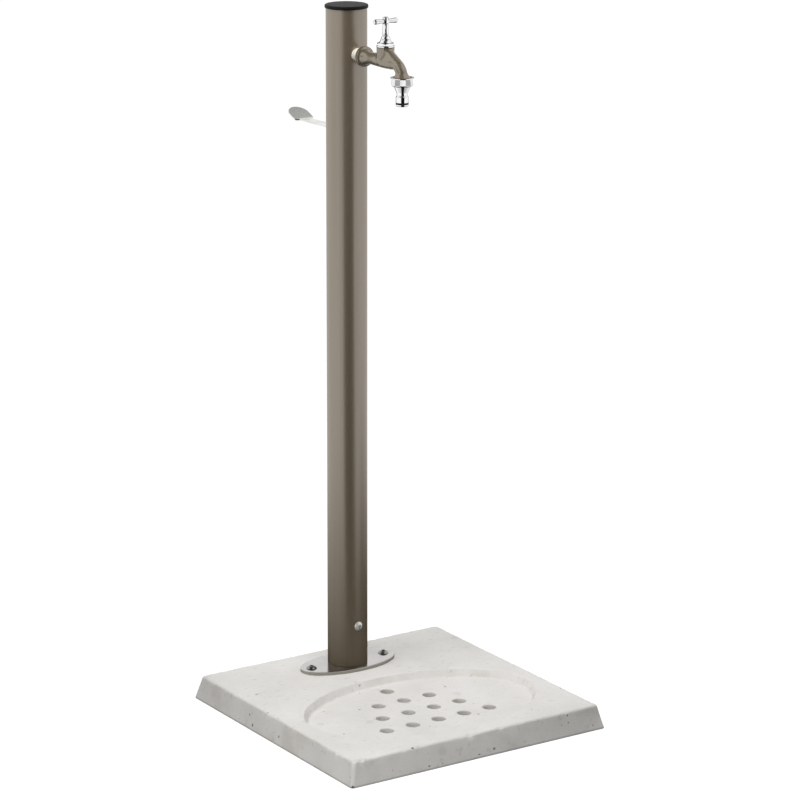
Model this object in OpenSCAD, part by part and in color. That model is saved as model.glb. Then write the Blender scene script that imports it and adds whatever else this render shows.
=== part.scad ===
// Garden standpipe: a painted tube column with a bib tap, a hose hook at its back and a drained stone tray.
// Millimetres. The origin is the middle of the tray's underside, +Z is up, and the tap points along -Y.

/* [Base tray] */
// Side of the square tray on the ground
tray_w = 440; // [420:1:480]
// Height of the tray
tray_h = 36; // [34:0.5:50]
// How far each side leans in from the ground to the top face
tray_taper = 9; // [4:0.5:14]
// Radius of the tray's corners seen from above
tray_corner_r = 10; // [8:0.5:14]
// Radius of the rounded top edge
tray_edge_r = 4; // [1:0.5:7]
// Length of the oval recess, along X
recess_l = 374; // [330:1:376]
// Width of the oval recess, along Y
recess_w = 246; // [232:1:250]
// Depth of the recess
recess_depth = 11; // [5:0.5:15]
// How far the recess wall leans in from rim to floor
recess_slope = 5; // [2:0.5:8]
// Stone left between the recess and the front edge of the top face
recess_margin = 24; // [18:1:28]
// Diameter of a drain hole
drain_d = 20; // [12:0.5:24]
// Distance between drain holes in a row
drain_pitch = 44.7; // [36:0.1:48]
// Distance between rows of drain holes
drain_row_pitch = 45.7; // [36:0.1:46]
// Distance of the column's axis from the back edge of the top face
column_setback = 74; // [66:1:84]
// Diameter of the passage for the supply pipe under the column
passage_d = 46; // [44:1:48]
// Outside diameter of a threaded insert in the stone
insert_d = 13; // [11:0.5:15]
// Length of a threaded insert in the stone
insert_l = 20; // [16:0.5:24]

/* [Base plate] */
// Length of the oval plate, along X
plate_l = 160; // [154:1:180]
// Width of the oval plate, along Y
plate_w = 80; // [76:1:92]
// Thickness of the plate
plate_t = 5; // [4:0.5:8]
// Distance between the two plate screws
plate_screw_span = 128; // [116:1:130]
// Head diameter of a plate screw
plate_head_d = 16; // [14:0.5:17]
// Height of the spigot that the column slips over
spigot_h = 85; // [78:1:110]
// Wall of the spigot
spigot_wall = 8; // [7:0.25:8.5]
// Diameter of the screws that hold the spigot on the plate
spigot_screw_d = 4; // [3:0.5:4.5]
// Length of those screws
spigot_screw_l = 18; // [14:1:24]

/* [Column] */
// Outside diameter of the column tube
column_d = 60; // [58:0.5:64]
// Wall of the column tube
column_wall = 2; // [1.5:0.25:2.5]
// Length of the column tube
column_l = 990; // [800:5:1200]
// Height of the clamp screw above the column's foot
clamp_height = 63; // [50:1:68]
// Head diameter of the clamp screw
clamp_head_d = 14; // [12:0.5:16]
// How far the cap stands out past the tube
cap_overhang = 1.5; // [0.5:0.25:3]
// Height of the cap above the tube
cap_h = 5; // [4:0.5:10]
// Radius of the cap's rounded edge
cap_edge_r = 2; // [0.5:0.25:3]
// Depth of the cap's skirt inside the tube
cap_skirt_l = 20; // [12:1:26]
// Wall of the cap's skirt
cap_skirt_wall = 2; // [1.5:0.25:3]

/* [Water pipe] */
// Outside diameter of the riser pipe
pipe_d = 15; // [14:0.5:15.5]
// Wall of the riser pipe
pipe_wall = 1; // [0.7:0.1:1.5]
// Depth of a pipe socket
pipe_socket_l = 12; // [10:0.5:13]
// Bore of the supply thread in the inlet coupling
supply_bore_d = 18.6; // [17:0.1:19]
// Depth of the supply thread
supply_bore_l = 16; // [12:0.5:18]
// Outside diameter of the coupling's threaded tail
coupling_tail_d = 26.4; // [25:0.1:27]
// Length of the tail below the plate's top
coupling_tail_l = 30; // [27:0.5:32]
// Height of the coupling's hexagon flange
coupling_flange_h = 9; // [7:0.5:12]
// Width of the coupling's flange across flats
coupling_flange_af = 30; // [29:0.5:31]
// Width of the lock nut across flats
lock_nut_af = 36; // [33:0.5:37]
// Height of the lock nut
lock_nut_h = 6; // [5:0.5:9]
// Outside diameter of a compression thread
stub_d = 20; // [19.8:0.1:20.5]
// Length of a compression thread
stub_l = 14; // [13.5:0.5:16]
// Width of a compression nut across flats
pipe_nut_af = 24; // [23:0.5:26]
// Outside diameter of the elbow's socket
elbow_socket_d = 24; // [22:0.5:26]
// Thickness of the inner saddle on the tap's axis
inner_saddle_t = 6; // [5:0.5:7]

/* [Tap body] */
// Depth of the tap's inlet axis below the top of the column
tap_drop = 64.5; // [60:0.5:120]
// Diameter of the tap's threaded tail
tail_d = 16.6; // [16:0.1:17]
// Length of tail held by the elbow
tail_grip = 13; // [10:0.5:13.5]
// Outside diameter of the pale spacer
spacer_d = 20; // [19.5:0.5:24]
// Length of the spacer between column and collar
spacer_l = 15; // [10:0.5:25]
// Diameter of the collar
collar_d = 32; // [30:0.5:36]
// Thickness of the collar
collar_t = 6; // [5:0.5:8]
// Larger diameter of the cone in front of the collar
cone_d = 28; // [24:0.5:29.5]
// Length of that cone
cone_l = 15; // [10:0.5:20]
// Diameter of the body's neck and spout
neck_d = 19; // [18:0.5:20]
// Distance from the collar's front to the valve axis
valve_reach = 52; // [50:0.5:60]
// Diameter of the valve housing
housing_d = 27; // [26.5:0.25:29]
// Diameter of the ring at the top of the valve housing
housing_ring_d = 29; // [29:0.25:31]
// Height of the valve housing's top above the inlet axis
housing_top = 21; // [20.5:0.25:24]
// Diameter of the bore in the valve housing
chamber_d = 21; // [20.5:0.1:21.4]
// Distance from the valve axis to the spout axis
spout_reach = 43; // [42:0.5:50]
// Slope of the spout before its bend
spout_slope = 22; // [20:0.5:24]
// Radius of the spout's bend
spout_bend_r = 12.5; // [11.5:0.5:15]
// Height of the bend's lower end below the inlet axis
spout_drop = 13; // [12:0.1:15]
// Diameter of the spout's flared end
flare_d = 22.5; // [21:0.5:25]
// Height of the spout's flared end
flare_h = 3.6; // [2:0.1:5]
// Diameter of the spout's thread
spout_thread_d = 26.2; // [25.5:0.1:27]
// Length of the spout's thread
spout_thread_l = 8.2; // [7:0.1:10]
// Bore of the waterway
waterway_d = 9.5; // [8:0.25:9.5]
// Bore of the valve seat
seat_bore_d = 8; // [7.5:0.25:8.25]

/* [Bonnet, spindle and handle] */
// Width of the bonnet's hexagon across flats
bonnet_af = 24; // [23:0.5:25]
// Height of the bonnet's hexagon
bonnet_hex_h = 7; // [6.5:0.25:9]
// Height of the cone above the hexagon
bonnet_cone_h = 8; // [6:0.5:10]
// Diameter at the foot of that cone
bonnet_cone_d = 20; // [18:0.5:21]
// Diameter at the foot of the bonnet's neck
bonnet_neck_d = 10.5; // [10:0.1:12]
// Length of the bonnet's neck
bonnet_neck_l = 17; // [16:0.5:24]
// Thickness of the bonnet gasket
gasket_t = 1; // [0.5:0.25:1.5]
// Diameter of the spindle's thread
spindle_thread_d = 12; // [11:0.1:12.5]
// Length of the spindle's thread
spindle_thread_l = 15; // [13:0.5:15]
// Diameter of the spindle's stem
stem_d = 6; // [5.5:0.1:6.5]
// How far the spindle rises from shut to open
valve_lift = 5; // [3:0.25:5]
// Side of the square that drives the handle
drive_square = 4; // [3.6:0.1:4.2]
// Diameter of the handle's hub
hub_d = 9; // [8.5:0.25:11]
// Height of the handle's hub
hub_h = 9.2; // [9.2:0.1:12]
// Length of the handle's bar
bar_l = 41; // [32:0.5:60]
// Diameter of the bar beside the hub
bar_root_d = 5.6; // [5:0.1:6.4]
// Diameter of the bar at its ends
bar_end_d = 8; // [6:0.1:8.4]
// Diameter of the jumper valve's disc
jumper_d = 15; // [14:0.25:16]
// Thickness of the jumper valve's disc
jumper_t = 2.75; // [2:0.25:3]
// Thickness of the rubber valve washer
valve_washer_t = 3.5; // [3:0.25:4]

/* [Hose adapter] */
// Width of the ring nut across its corners
nut_d = 35; // [33.5:0.5:38]
// Height of the ring nut
nut_h = 12.6; // [12.2:0.1:16]
// Height of the smooth lip on the nut's top
nut_lip_h = 1.4; // [1:0.1:2.5]
// Thickness of the sealing washer
adapter_washer_t = 2.4; // [2:0.1:2.5]
// Larger diameter of the nipple's cone
nipple_cone_d = 24; // [20:0.5:27]
// Height of that cone
nipple_cone_h = 10; // [7:0.5:14]
// Diameter of the nipple's waist
nipple_waist_d = 15.5; // [15:0.1:16.5]
// Height of the waist
nipple_waist_h = 3.5; // [2:0.25:6]
// Diameter of the nipple's barrel
barrel_d = 18.4; // [17.5:0.1:19]
// Length of the barrel
barrel_l = 8; // [6:0.25:12]
// Length of the tip below the O-ring
tip_l = 3; // [2:0.25:5]
// Bore of the nipple
nipple_bore_d = 11; // [9:0.25:11.5]

/* [Hose hook] */
// Depth of the hook's bend below the top of the column
hook_drop = 186; // [170:1:260]
// Distance of the bend from the column's axis
hook_reach = 115.5; // [90:0.5:150]
// Width of the hook's arm
arm_w = 20; // [14:0.5:26]
// Fall of the arm towards its bend
arm_fall = 4; // [0:0.5:6]
// Thickness of the hook's sheet
hook_t = 2.5; // [2:0.25:3]
// Width of the upturned tongue
tongue_w = 33; // [28:0.5:44]
// Length of the tongue, over its round end
tongue_l = 33.5; // [30:0.5:50]
// Rise of the tongue
tongue_rise = 30; // [20:1:60]
// Length of the hook's foot against the column
foot_l = 46; // [42:1:60]
// Distance between the two hook screws
hook_screw_pitch = 20; // [16:0.5:24]
// Diameter of a hook screw
hook_screw_d = 5; // [4:0.5:5.5]

/* [Fits] */
// Gap between faces that are seated on each other
seat_gap = 0.05; // [0.03:0.01:0.1]
// Radial gap of a thread or of a turning fit
turn_gap = 0.08; // [0.05:0.01:0.1]
// Radial gap of a slip fit
slip_gap = 0.2; // [0.1:0.05:0.3]
// Radial room of a clearance hole
hole_gap = 0.35; // [0.2:0.05:0.5]
// Gap under the handle when the tap is shut
handle_gap = 0.3; // [0.2:0.05:0.5]

/* [Hidden] */
$fn = 64;
hull_fn = 32;
oval_sides = 120;
cut = 1;
skin = 0.01;

// Tray
top_w = tray_w - 2 * tray_taper;
recess_y = recess_margin + recess_w / 2 - top_w / 2;
recess_floor = tray_h - recess_depth;
column_y = top_w / 2 - column_setback;
drain_rows = [[-1, 5], [0, 4], [1, 3], [2, 1]];

// Base plate, spigot and their screws
plate_top = tray_h + plate_t;
screw_d = 8;
screw_fit_d = screw_d + 2 * turn_gap;
plate_screw_l = plate_t + insert_l - 4;
plate_head_h = 4.5;
socket_af = 5;
socket_depth = 2.5;
column_r = column_d / 2;
column_ir = column_r - column_wall;
spigot_d = 2 * (column_ir - slip_gap);
spigot_id = spigot_d - 2 * spigot_wall;
spigot_chamfer = 2;
spigot_screw_count = 3;
spigot_screw_r = (spigot_d + spigot_id) / 4;
spigot_head_d = 2 * spigot_screw_d;
spigot_head_h = spigot_screw_d / 2;

// Column
column_top = plate_top + column_l;
clamp_z = plate_top + clamp_height;
clamp_head_h = 4.4;
clamp_screw_l = column_wall + slip_gap + spigot_wall;

// Water pipe
pipe_fit_d = pipe_d + 2 * turn_gap;
pipe_bore_d = pipe_d - 2 * pipe_wall;
olive_h = 5;
olive_rim_r = 0.35;
olive_wall = 1.2;
olive_ledge = 2.2;
olive_room = 0.2;
pipe_nut_grip = 9;
pipe_nut_roof = 3.2;
coupling_stub_top = plate_top + coupling_flange_h + stub_l;
inlet_z = column_top - tap_drop;
elbow_stub_l = 13 + stub_l;
elbow_stub_end = inlet_z - elbow_stub_l;
pipe_seat_gap = 0.1;

// Tap, measured along its inlet axis from the column's axis and up from that axis
elbow_face = column_ir - inner_saddle_t;
tail_end = elbow_face - tail_grip;
tail_fit_d = tail_d + 2 * turn_gap;
tail_hole_d = tail_d + 2 * slip_gap;
collar_back = column_r + spacer_l;
collar_front = collar_back + collar_t;
collar_lip = collar_t / 3;
collar_groove_t = collar_t / 5;
collar_groove_depth = 2;
collar_step = 0.5;
valve_s = collar_front + valve_reach;
spout_s = valve_s + spout_reach;
housing_ring_h = 4;
belly_z = 2.5;
chamber_floor = 3.5;
seat_top = 6;
seat_d = seat_bore_d + 4;
passage_end_z = -3.5;
passage_start_s = collar_front + cone_l / 2;
passage_bore_d = waterway_d - 1;
passage_angle = atan2(-passage_end_z, valve_s - passage_start_s);
bend_s = spout_s - spout_bend_r;
bend_turn = 90 - spout_slope;
run_end_s = bend_s + spout_bend_r * cos(bend_turn);
run_end_z = spout_bend_r * sin(bend_turn) - spout_drop;
run_l = (run_end_s - valve_s) / cos(spout_slope);
outlet_start = (chamber_d / 2 - 2.5) / cos(spout_slope);
flare_step = 0.1;
flare_overlap = 0.5;
thread_top = -spout_drop - flare_h;
thread_end = thread_top - spout_thread_l;

// Bonnet, spindle, valve and handle, up from the inlet axis
bonnet_seat = housing_top + gasket_t;
bonnet_tail_end = housing_top - 6.5;
bonnet_tail_d = chamber_d - 2 * turn_gap;
bonnet_hex_top = bonnet_seat + bonnet_hex_h;
bonnet_cone_top = bonnet_hex_top + bonnet_cone_h;
bonnet_top = bonnet_cone_top + bonnet_neck_l;
bonnet_neck_top_d = bonnet_neck_d - 0.8;
jumper_room_d = jumper_d + 1.2;
washer_bottom = seat_top + seat_gap;
washer_top = washer_bottom + valve_washer_t;
disc_bottom = washer_top + seat_gap;
disc_top = disc_bottom + jumper_t;
jumper_room_top = disc_top + valve_lift + 1.4;
spindle_bottom = disc_top + seat_gap;
thread_run_top = spindle_bottom + spindle_thread_l;
thread_room_top = thread_run_top + valve_lift + 0.2;
stem_bore_d = stem_d + 2 * turn_gap;
jumper_stem_d = 5;
jumper_stem_l = 10;
jumper_stud_d = 3.4;
washer_nut_h = 2.1;
washer_nut_af = 6;
stud_end = washer_bottom - washer_nut_h - 0.7;
washer_d = seat_d + 2;
handle_bottom = bonnet_top + handle_gap;
handle_top = handle_bottom + hub_h;
bar_z = handle_bottom + 3.4;
hub_web_bottom = handle_top - 4;
hub_web_top = handle_top - 2.5;
spindle_top = hub_web_bottom - seat_gap;
handle_screw_d = 2.5;
handle_head_d = 6;
handle_head_h = 2;
handle_screw_l = 7;
handle_socket_af = 2.5;
handle_socket_depth = 1.2;
hub_edge_r = 1;
o_ring_r = 0.6;
o_ring_path_r = stem_bore_d / 2 - o_ring_r - 0.02;
o_ring_groove_r = o_ring_path_r - o_ring_r - 0.02;
o_ring_groove_h = 1.4;
o_ring_z = [bonnet_cone_top + 3, bonnet_cone_top + 7];

// Hose adapter, up from the inlet axis
nut_top = thread_top + 0.4;
nut_bottom = nut_top - nut_h;
nut_sides = 12;
adapter_seal_top = thread_end - seat_gap;
adapter_floor = adapter_seal_top - adapter_washer_t - seat_gap;
adapter_thread_d = spout_thread_d + 2 * turn_gap;
adapter_washer_d = spout_thread_d - 0.4;
waist_top = nut_bottom - nipple_cone_h;
waist_bottom = waist_top - nipple_waist_h;
barrel_top = waist_bottom - (barrel_d - nipple_waist_d) / 2;
barrel_bottom = barrel_top - barrel_l;
groove_h = 2.6;
nipple_ring_r = 1.15;
nipple_ring_path_r = barrel_d / 2 - nipple_ring_r + 0.15;
groove_r = nipple_ring_path_r - nipple_ring_r - 0.02;
tip_top = barrel_bottom - groove_h;
tip_bottom = tip_top - tip_l;
tip_chamfer = 1;

// Hose hook
hook_z = column_top - hook_drop;
arm_l = (hook_reach - column_r - seat_gap) / cos(arm_fall);
foot_top = hook_z + (hook_reach - column_r) * tan(arm_fall);
foot_r = column_r + seat_gap;
first_screw_drop = 14;
hook_screw_z = [foot_top - first_screw_drop, foot_top - first_screw_drop - hook_screw_pitch];
hook_head_d = 2 * hook_screw_d;
hook_head_h = 0.55 * hook_screw_d;
hook_screw_l = hook_t + 12;
hook_insert_d = hook_screw_d + 2;
hook_insert_l = 11;
hook_insert_face = sqrt(column_r * column_r - hook_insert_d * hook_insert_d / 4) - seat_gap;
hook_bulge_d = hook_insert_d + 2.6;
hook_bulge_l = 4;
hook_socket_af = 0.6 * hook_screw_d;
hook_socket_depth = 0.3 * hook_screw_d;

paint = [0.50, 0.46, 0.41];
stone = [0.86, 0.84, 0.81];
steel = [0.78, 0.78, 0.79];
chrome = [0.88, 0.89, 0.90];
brass = [0.80, 0.66, 0.36];
copper = [0.76, 0.46, 0.32];
nylon = [0.94, 0.92, 0.88];
rubber = [0.08, 0.08, 0.08];
black_plastic = [0.12, 0.12, 0.12];

// Points of an oval with half axes a and b
function oval(a, b) = [for (i = [0 : oval_sides - 1]) [a * cos(360 * i / oval_sides), b * sin(360 * i / oval_sides)]];

// Width across corners of a hexagon with the given width across flats
function corners(af) = af / cos(30);

// Puts children on the column's axis
module on_column(z = 0) {
    translate([0, column_y, z]) children();
}

// Turns children so that their X runs along the tap, out from the column's axis at the inlet's height
module on_tap() {
    on_column(inlet_z) rotate([0, 0, -90]) children();
}

// Puts children on the valve's axis, with the inlet's height as zero
module on_valve() {
    on_tap() translate([valve_s, 0, 0]) children();
}

// Puts children on the spout's axis, with the inlet's height as zero
module on_spout() {
    on_tap() translate([spout_s, 0, 0]) children();
}

// Turns children so that their X runs out from the back of the column
module behind_column(z) {
    on_column(z) rotate([0, 0, 90]) children();
}

// A round bar or cone along X
module along(from, to, d1, d2 = undef) {
    end_d = d2 == undef ? d1 : d2;
    translate([from, 0, 0]) rotate([0, 90, 0]) cylinder(h = to - from, d1 = d1, d2 = end_d);
}

// A round bar or cone along Z
module upright(from, to, d1, d2 = undef) {
    end_d = d2 == undef ? d1 : d2;
    translate([0, 0, from]) cylinder(h = to - from, d1 = d1, d2 = end_d);
}

// A hexagon prism along Z
module hexagon(from, to, af) {
    translate([0, 0, from]) cylinder(h = to - from, d = corners(af), $fn = 6);
}

// A ring of round section about Z
module ring(z, path_r, section_r) {
    translate([0, 0, z]) rotate_extrude() translate([path_r, 0]) circle(r = section_r);
}

// A button-head screw along Z, with its head above zero, its shank below and a hexagon socket
module button_screw(d, length, head_d, head_h, af, depth) {
    dome_r = (head_d * head_d / 4 + head_h * head_h) / (2 * head_h);
    difference() {
        union() {
            intersection() {
                upright(0, head_h + cut, head_d);
                translate([0, 0, head_h - dome_r]) sphere(r = dome_r);
            }
            upright(-length, skin, d);
        }
        hexagon(head_h - depth, head_h + cut, af);
    }
}

// Places children at both plate screws
module at_plate_screws(z) {
    for (side = [-1, 1]) on_column(z) translate([side * plate_screw_span / 2, 0, 0]) children();
}

// Places children at the spigot's screws
module at_spigot_screws(z) {
    for (i = [0 : spigot_screw_count - 1]) {
        on_column(z) rotate([0, 0, 90 + i * 360 / spigot_screw_count]) translate([spigot_screw_r, 0, 0]) children();
    }
}

// Tray block with leaning sides, round corners and a rounded top edge
module tray_block() {
    hull() {
        for (x = [-1, 1], y = [-1, 1]) {
            foot = tray_w / 2 - tray_corner_r;
            shoulder = top_w / 2 - tray_corner_r;
            translate([x * foot, y * foot, 0]) cylinder(r = tray_corner_r, h = skin, $fn = hull_fn);
            translate([x * shoulder, y * shoulder, tray_h - tray_edge_r]) rotate_extrude($fn = hull_fn) {
                intersection() {
                    translate([tray_corner_r - tray_edge_r, 0]) circle(r = tray_edge_r, $fn = hull_fn);
                    square([tray_corner_r, tray_edge_r]);
                }
            }
        }
    }
}

// Space of the oval recess, with a leaning wall
module recess_space() {
    translate([0, recess_y, recess_floor]) hull() {
        linear_extrude(skin) polygon(oval(recess_l / 2 - recess_slope, recess_w / 2 - recess_slope));
        translate([0, 0, recess_depth]) linear_extrude(cut) polygon(oval(recess_l / 2, recess_w / 2));
    }
}

module base_tray() {
    color(stone) difference() {
        tray_block();
        recess_space();
        for (row = drain_rows, i = [0 : row[1] - 1]) {
            x = (i - (row[1] - 1) / 2) * drain_pitch;
            y = recess_y + row[0] * drain_row_pitch;
            translate([x, y, -cut]) cylinder(d = drain_d, h = tray_h);
        }
        on_column() upright(-cut, tray_h + cut, passage_d);
        at_plate_screws(tray_h) upright(-insert_l - seat_gap, cut, insert_d + 2 * seat_gap);
    }
}

module tray_inserts() {
    color(brass) at_plate_screws(tray_h) difference() {
        upright(-insert_l, 0, insert_d);
        upright(-insert_l + cut, cut, screw_fit_d);
    }
}

module base_plate() {
    color(steel) difference() {
        on_column(tray_h) linear_extrude(plate_t) polygon(oval(plate_l / 2, plate_w / 2));
        on_column() upright(tray_h - cut, plate_top + cut, coupling_tail_d + 2 * hole_gap);
        at_plate_screws(tray_h) upright(-cut, plate_t + cut, screw_d + 2 * hole_gap);
        at_spigot_screws(tray_h) {
            upright(-cut, plate_t + cut, spigot_screw_d + 2 * hole_gap);
            upright(-skin, spigot_head_h, spigot_head_d + 2 * hole_gap, spigot_screw_d + 2 * hole_gap);
        }
    }
}

module plate_screws() {
    color(steel) at_plate_screws(plate_top) {
        button_screw(screw_d, plate_screw_l, plate_head_d, plate_head_h, socket_af, socket_depth);
    }
}

module column_spigot() {
    color(steel) difference() {
        on_column() union() {
            upright(plate_top, plate_top + spigot_h - spigot_chamfer, spigot_d);
            upright(plate_top + spigot_h - spigot_chamfer, plate_top + spigot_h,
                spigot_d, spigot_d - 2 * spigot_chamfer);
        }
        on_column() upright(plate_top - cut, plate_top + spigot_h + cut, spigot_id);
        on_column(clamp_z) rotate([0, 0, -90]) along(0, column_r, screw_fit_d);
        at_spigot_screws(plate_top) upright(-cut, spigot_screw_l - plate_t + cut, spigot_screw_d + 2 * turn_gap);
    }
}

module spigot_screws() {
    color(steel) at_spigot_screws(tray_h) difference() {
        union() {
            upright(0, spigot_head_h, spigot_head_d, spigot_screw_d);
            upright(spigot_head_h - skin, spigot_screw_l, spigot_screw_d);
        }
        hexagon(-cut, spigot_head_h / 2, spigot_screw_d / 2);
    }
}

module column_tube() {
    color(paint) difference() {
        on_column() upright(plate_top, column_top, column_d);
        on_column() upright(plate_top - cut, column_top + cut, 2 * column_ir);
        on_column(clamp_z) rotate([0, 0, -90]) along(column_ir / 2, column_d, screw_d + 2 * hole_gap);
        on_tap() along(column_ir / 2, column_d, tail_hole_d);
        for (z = hook_screw_z) behind_column(z) along(column_ir / 2, column_d, hook_insert_d + 2 * seat_gap);
    }
}

module clamp_screw() {
    color(steel) on_column(clamp_z) rotate([90, 0, 0]) translate([0, 0, column_r + seat_gap]) {
        button_screw(screw_d, clamp_screw_l, clamp_head_d, clamp_head_h, socket_af, socket_depth);
    }
}

module column_cap() {
    cap_r = column_r + cap_overhang;
    color(black_plastic) on_column(column_top) {
        rotate_extrude() {
            square([cap_r, cap_h - cap_edge_r]);
            square([cap_r - cap_edge_r, cap_h]);
            translate([cap_r - cap_edge_r, cap_h - cap_edge_r]) intersection() {
                circle(r = cap_edge_r);
                square(cap_edge_r);
            }
        }
        difference() {
            upright(-cap_skirt_l, skin, 2 * (column_ir - seat_gap));
            upright(-cap_skirt_l - cut, -skin, 2 * (column_ir - seat_gap - cap_skirt_wall));
        }
    }
}

// Mouth of a compression end at zero: a pipe socket that opens upwards into a cone for the olive
module stub_mouth() {
    ledge_r = pipe_fit_d / 2 + olive_rim_r + olive_room;
    mouth_r = pipe_fit_d / 2 + olive_wall + olive_room;
    upright(-pipe_socket_l, cut, pipe_fit_d);
    upright(-olive_ledge - seat_gap, skin, 2 * ledge_r, 2 * mouth_r);
}

// Compression nut that grips a stub whose mouth is at zero
module compression_nut() {
    difference() {
        hexagon(-pipe_nut_grip, olive_h - olive_ledge + pipe_nut_roof, pipe_nut_af);
        upright(-pipe_nut_grip - cut, seat_gap, stub_d + 2 * turn_gap);
        upright(0, olive_h - olive_ledge + seat_gap, pipe_fit_d + 2 * (olive_wall + olive_room));
        upright(0, pipe_nut_roof + olive_h, pipe_d + 2 * slip_gap);
    }
}

// Olive seated in a mouth at zero
module olive() {
    in_r = pipe_fit_d / 2;
    translate([0, 0, -olive_ledge]) rotate_extrude() polygon([
        [in_r, 0],
        [in_r + olive_rim_r, 0],
        [in_r + olive_wall, olive_h * 0.4],
        [in_r + olive_wall, olive_h * 0.6],
        [in_r + olive_rim_r, olive_h],
        [in_r, olive_h]
    ]);
}

// Places children at the mouths of the two compression ends, the upper one upside down
module at_stub_mouths() {
    on_column(coupling_stub_top) children();
    on_column(elbow_stub_end) mirror([0, 0, 1]) children();
}

module inlet_coupling() {
    tail_bottom = plate_top - coupling_tail_l;
    color(brass) difference() {
        on_column() union() {
            upright(tail_bottom, plate_top + skin, coupling_tail_d);
            hexagon(plate_top, plate_top + coupling_flange_h, coupling_flange_af);
            upright(plate_top, coupling_stub_top, stub_d);
        }
        on_column() upright(tail_bottom - cut, tail_bottom + supply_bore_l, supply_bore_d);
        on_column() upright(tail_bottom, coupling_stub_top, pipe_bore_d);
        on_column(coupling_stub_top) stub_mouth();
    }
}

module inlet_lock_nut() {
    color(brass) on_column() difference() {
        hexagon(tray_h - lock_nut_h, tray_h, lock_nut_af);
        upright(tray_h - lock_nut_h - cut, tray_h + cut, coupling_tail_d + 2 * turn_gap);
    }
}

module riser_pipe() {
    foot = coupling_stub_top - pipe_socket_l + pipe_seat_gap;
    head = elbow_stub_end + pipe_socket_l - pipe_seat_gap;
    color(copper) on_column() difference() {
        upright(foot, head, pipe_d);
        upright(foot - cut, head + cut, pipe_bore_d);
    }
}

module compression_nuts() {
    color(brass) at_stub_mouths() compression_nut();
}

module compression_olives() {
    color(copper) at_stub_mouths() olive();
}

module pipe_elbow() {
    color(brass) difference() {
        union() {
            on_tap() along(0, elbow_face, elbow_socket_d);
            on_tap() sphere(d = elbow_socket_d);
            on_tap() upright(-elbow_stub_l, 0, stub_d);
        }
        on_tap() along(tail_end - seat_gap, elbow_face + cut, tail_fit_d);
        on_tap() along(0, elbow_face, waterway_d);
        on_tap() sphere(d = waterway_d);
        on_tap() upright(-elbow_stub_l - cut, 0, waterway_d);
        on_column(elbow_stub_end) mirror([0, 0, 1]) stub_mouth();
    }
}

module inner_saddle() {
    color(nylon) difference() {
        intersection() {
            on_tap() along(elbow_face, column_r, elbow_socket_d);
            on_column() upright(inlet_z - column_d, inlet_z + column_d, 2 * (column_ir - seat_gap));
        }
        on_tap() along(elbow_face - cut, column_d, tail_hole_d);
    }
}

module saddle_spacer() {
    color(nylon) difference() {
        on_tap() along(column_r / 2, collar_back, spacer_d);
        on_column() upright(inlet_z - column_d, inlet_z + column_d, 2 * (column_r + seat_gap));
        on_tap() along(column_r / 2 - cut, column_d * 2, tail_hole_d);
    }
}

// The spout's run and bend, of the given diameter, from a distance along the run, which slips into the bend
module spout_path(d, start) {
    translate([run_end_s, 0, run_end_z]) rotate([0, 90 + spout_slope, 0]) {
        upright(start - run_l, cut, d - 2 * seat_gap);
    }
    translate([bend_s, 0, -spout_drop]) rotate([90, 0, 0]) rotate_extrude(angle = bend_turn) {
        translate([spout_bend_r, 0]) circle(d = d);
    }
}

// Turned outside of the inlet: tail, collar with its groove, cone and neck, along X
module inlet_turning() {
    collar_r = collar_d / 2;
    groove_start = collar_back + collar_lip;
    groove_end = groove_start + collar_groove_t;
    rotate([0, 90, 0]) rotate_extrude() polygon([
        [0, tail_end],
        [tail_d / 2, tail_end],
        [tail_d / 2, collar_back],
        [collar_r, collar_back],
        [collar_r, groove_start],
        [collar_r - collar_groove_depth, groove_start],
        [collar_r - collar_groove_depth, groove_end],
        [collar_r - collar_step, groove_end],
        [collar_r - collar_step, collar_front],
        [cone_d / 2, collar_front],
        [neck_d / 2, collar_front + cone_l],
        [neck_d / 2, valve_s],
        [0, valve_s]
    ]);
}

// Valve housing with a round belly and a ring at its top, about Z
module housing_turning() {
    rotate_extrude() {
        translate([0, belly_z]) intersection() {
            circle(d = housing_d);
            translate([0, -housing_d]) square(housing_d);
        }
        translate([0, belly_z]) square([housing_d / 2, housing_top - belly_z]);
        translate([0, housing_top - housing_ring_h]) square([housing_ring_d / 2, housing_ring_h]);
    }
}

// Flared end of the spout with its thread, about Z
module spout_end_turning() {
    rotate_extrude() polygon([
        [0, thread_end],
        [spout_thread_d / 2, thread_end],
        [spout_thread_d / 2, thread_top],
        [flare_d / 2, thread_top],
        [neck_d / 2 + flare_step, flare_overlap - spout_drop],
        [0, flare_overlap - spout_drop]
    ]);
}

module tap_body() {
    color(paint) on_tap() difference() {
        union() {
            inlet_turning();
            translate([valve_s, 0, 0]) housing_turning();
            spout_path(neck_d, 0);
            translate([spout_s, 0, 0]) spout_end_turning();
        }
        along(tail_end - cut, passage_start_s + cut, waterway_d);
        translate([passage_start_s, 0, 0]) rotate([0, passage_angle, 0]) {
            along(0, (valve_s - passage_start_s) / cos(passage_angle), passage_bore_d);
        }
        translate([valve_s, 0, 0]) {
            upright(passage_end_z, seat_top + cut, seat_bore_d);
            difference() {
                upright(chamber_floor, housing_top + cut, chamber_d);
                upright(0, seat_top, seat_d);
            }
        }
        spout_path(waterway_d, outlet_start);
        translate([spout_s, 0, 0]) upright(thread_end - cut, flare_overlap - spout_drop, waterway_d - 2 * seat_gap);
    }
}

module bonnet_gasket() {
    color(rubber) on_valve() difference() {
        upright(housing_top, bonnet_seat, housing_d);
        upright(housing_top - cut, bonnet_seat + cut, chamber_d);
    }
}

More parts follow.
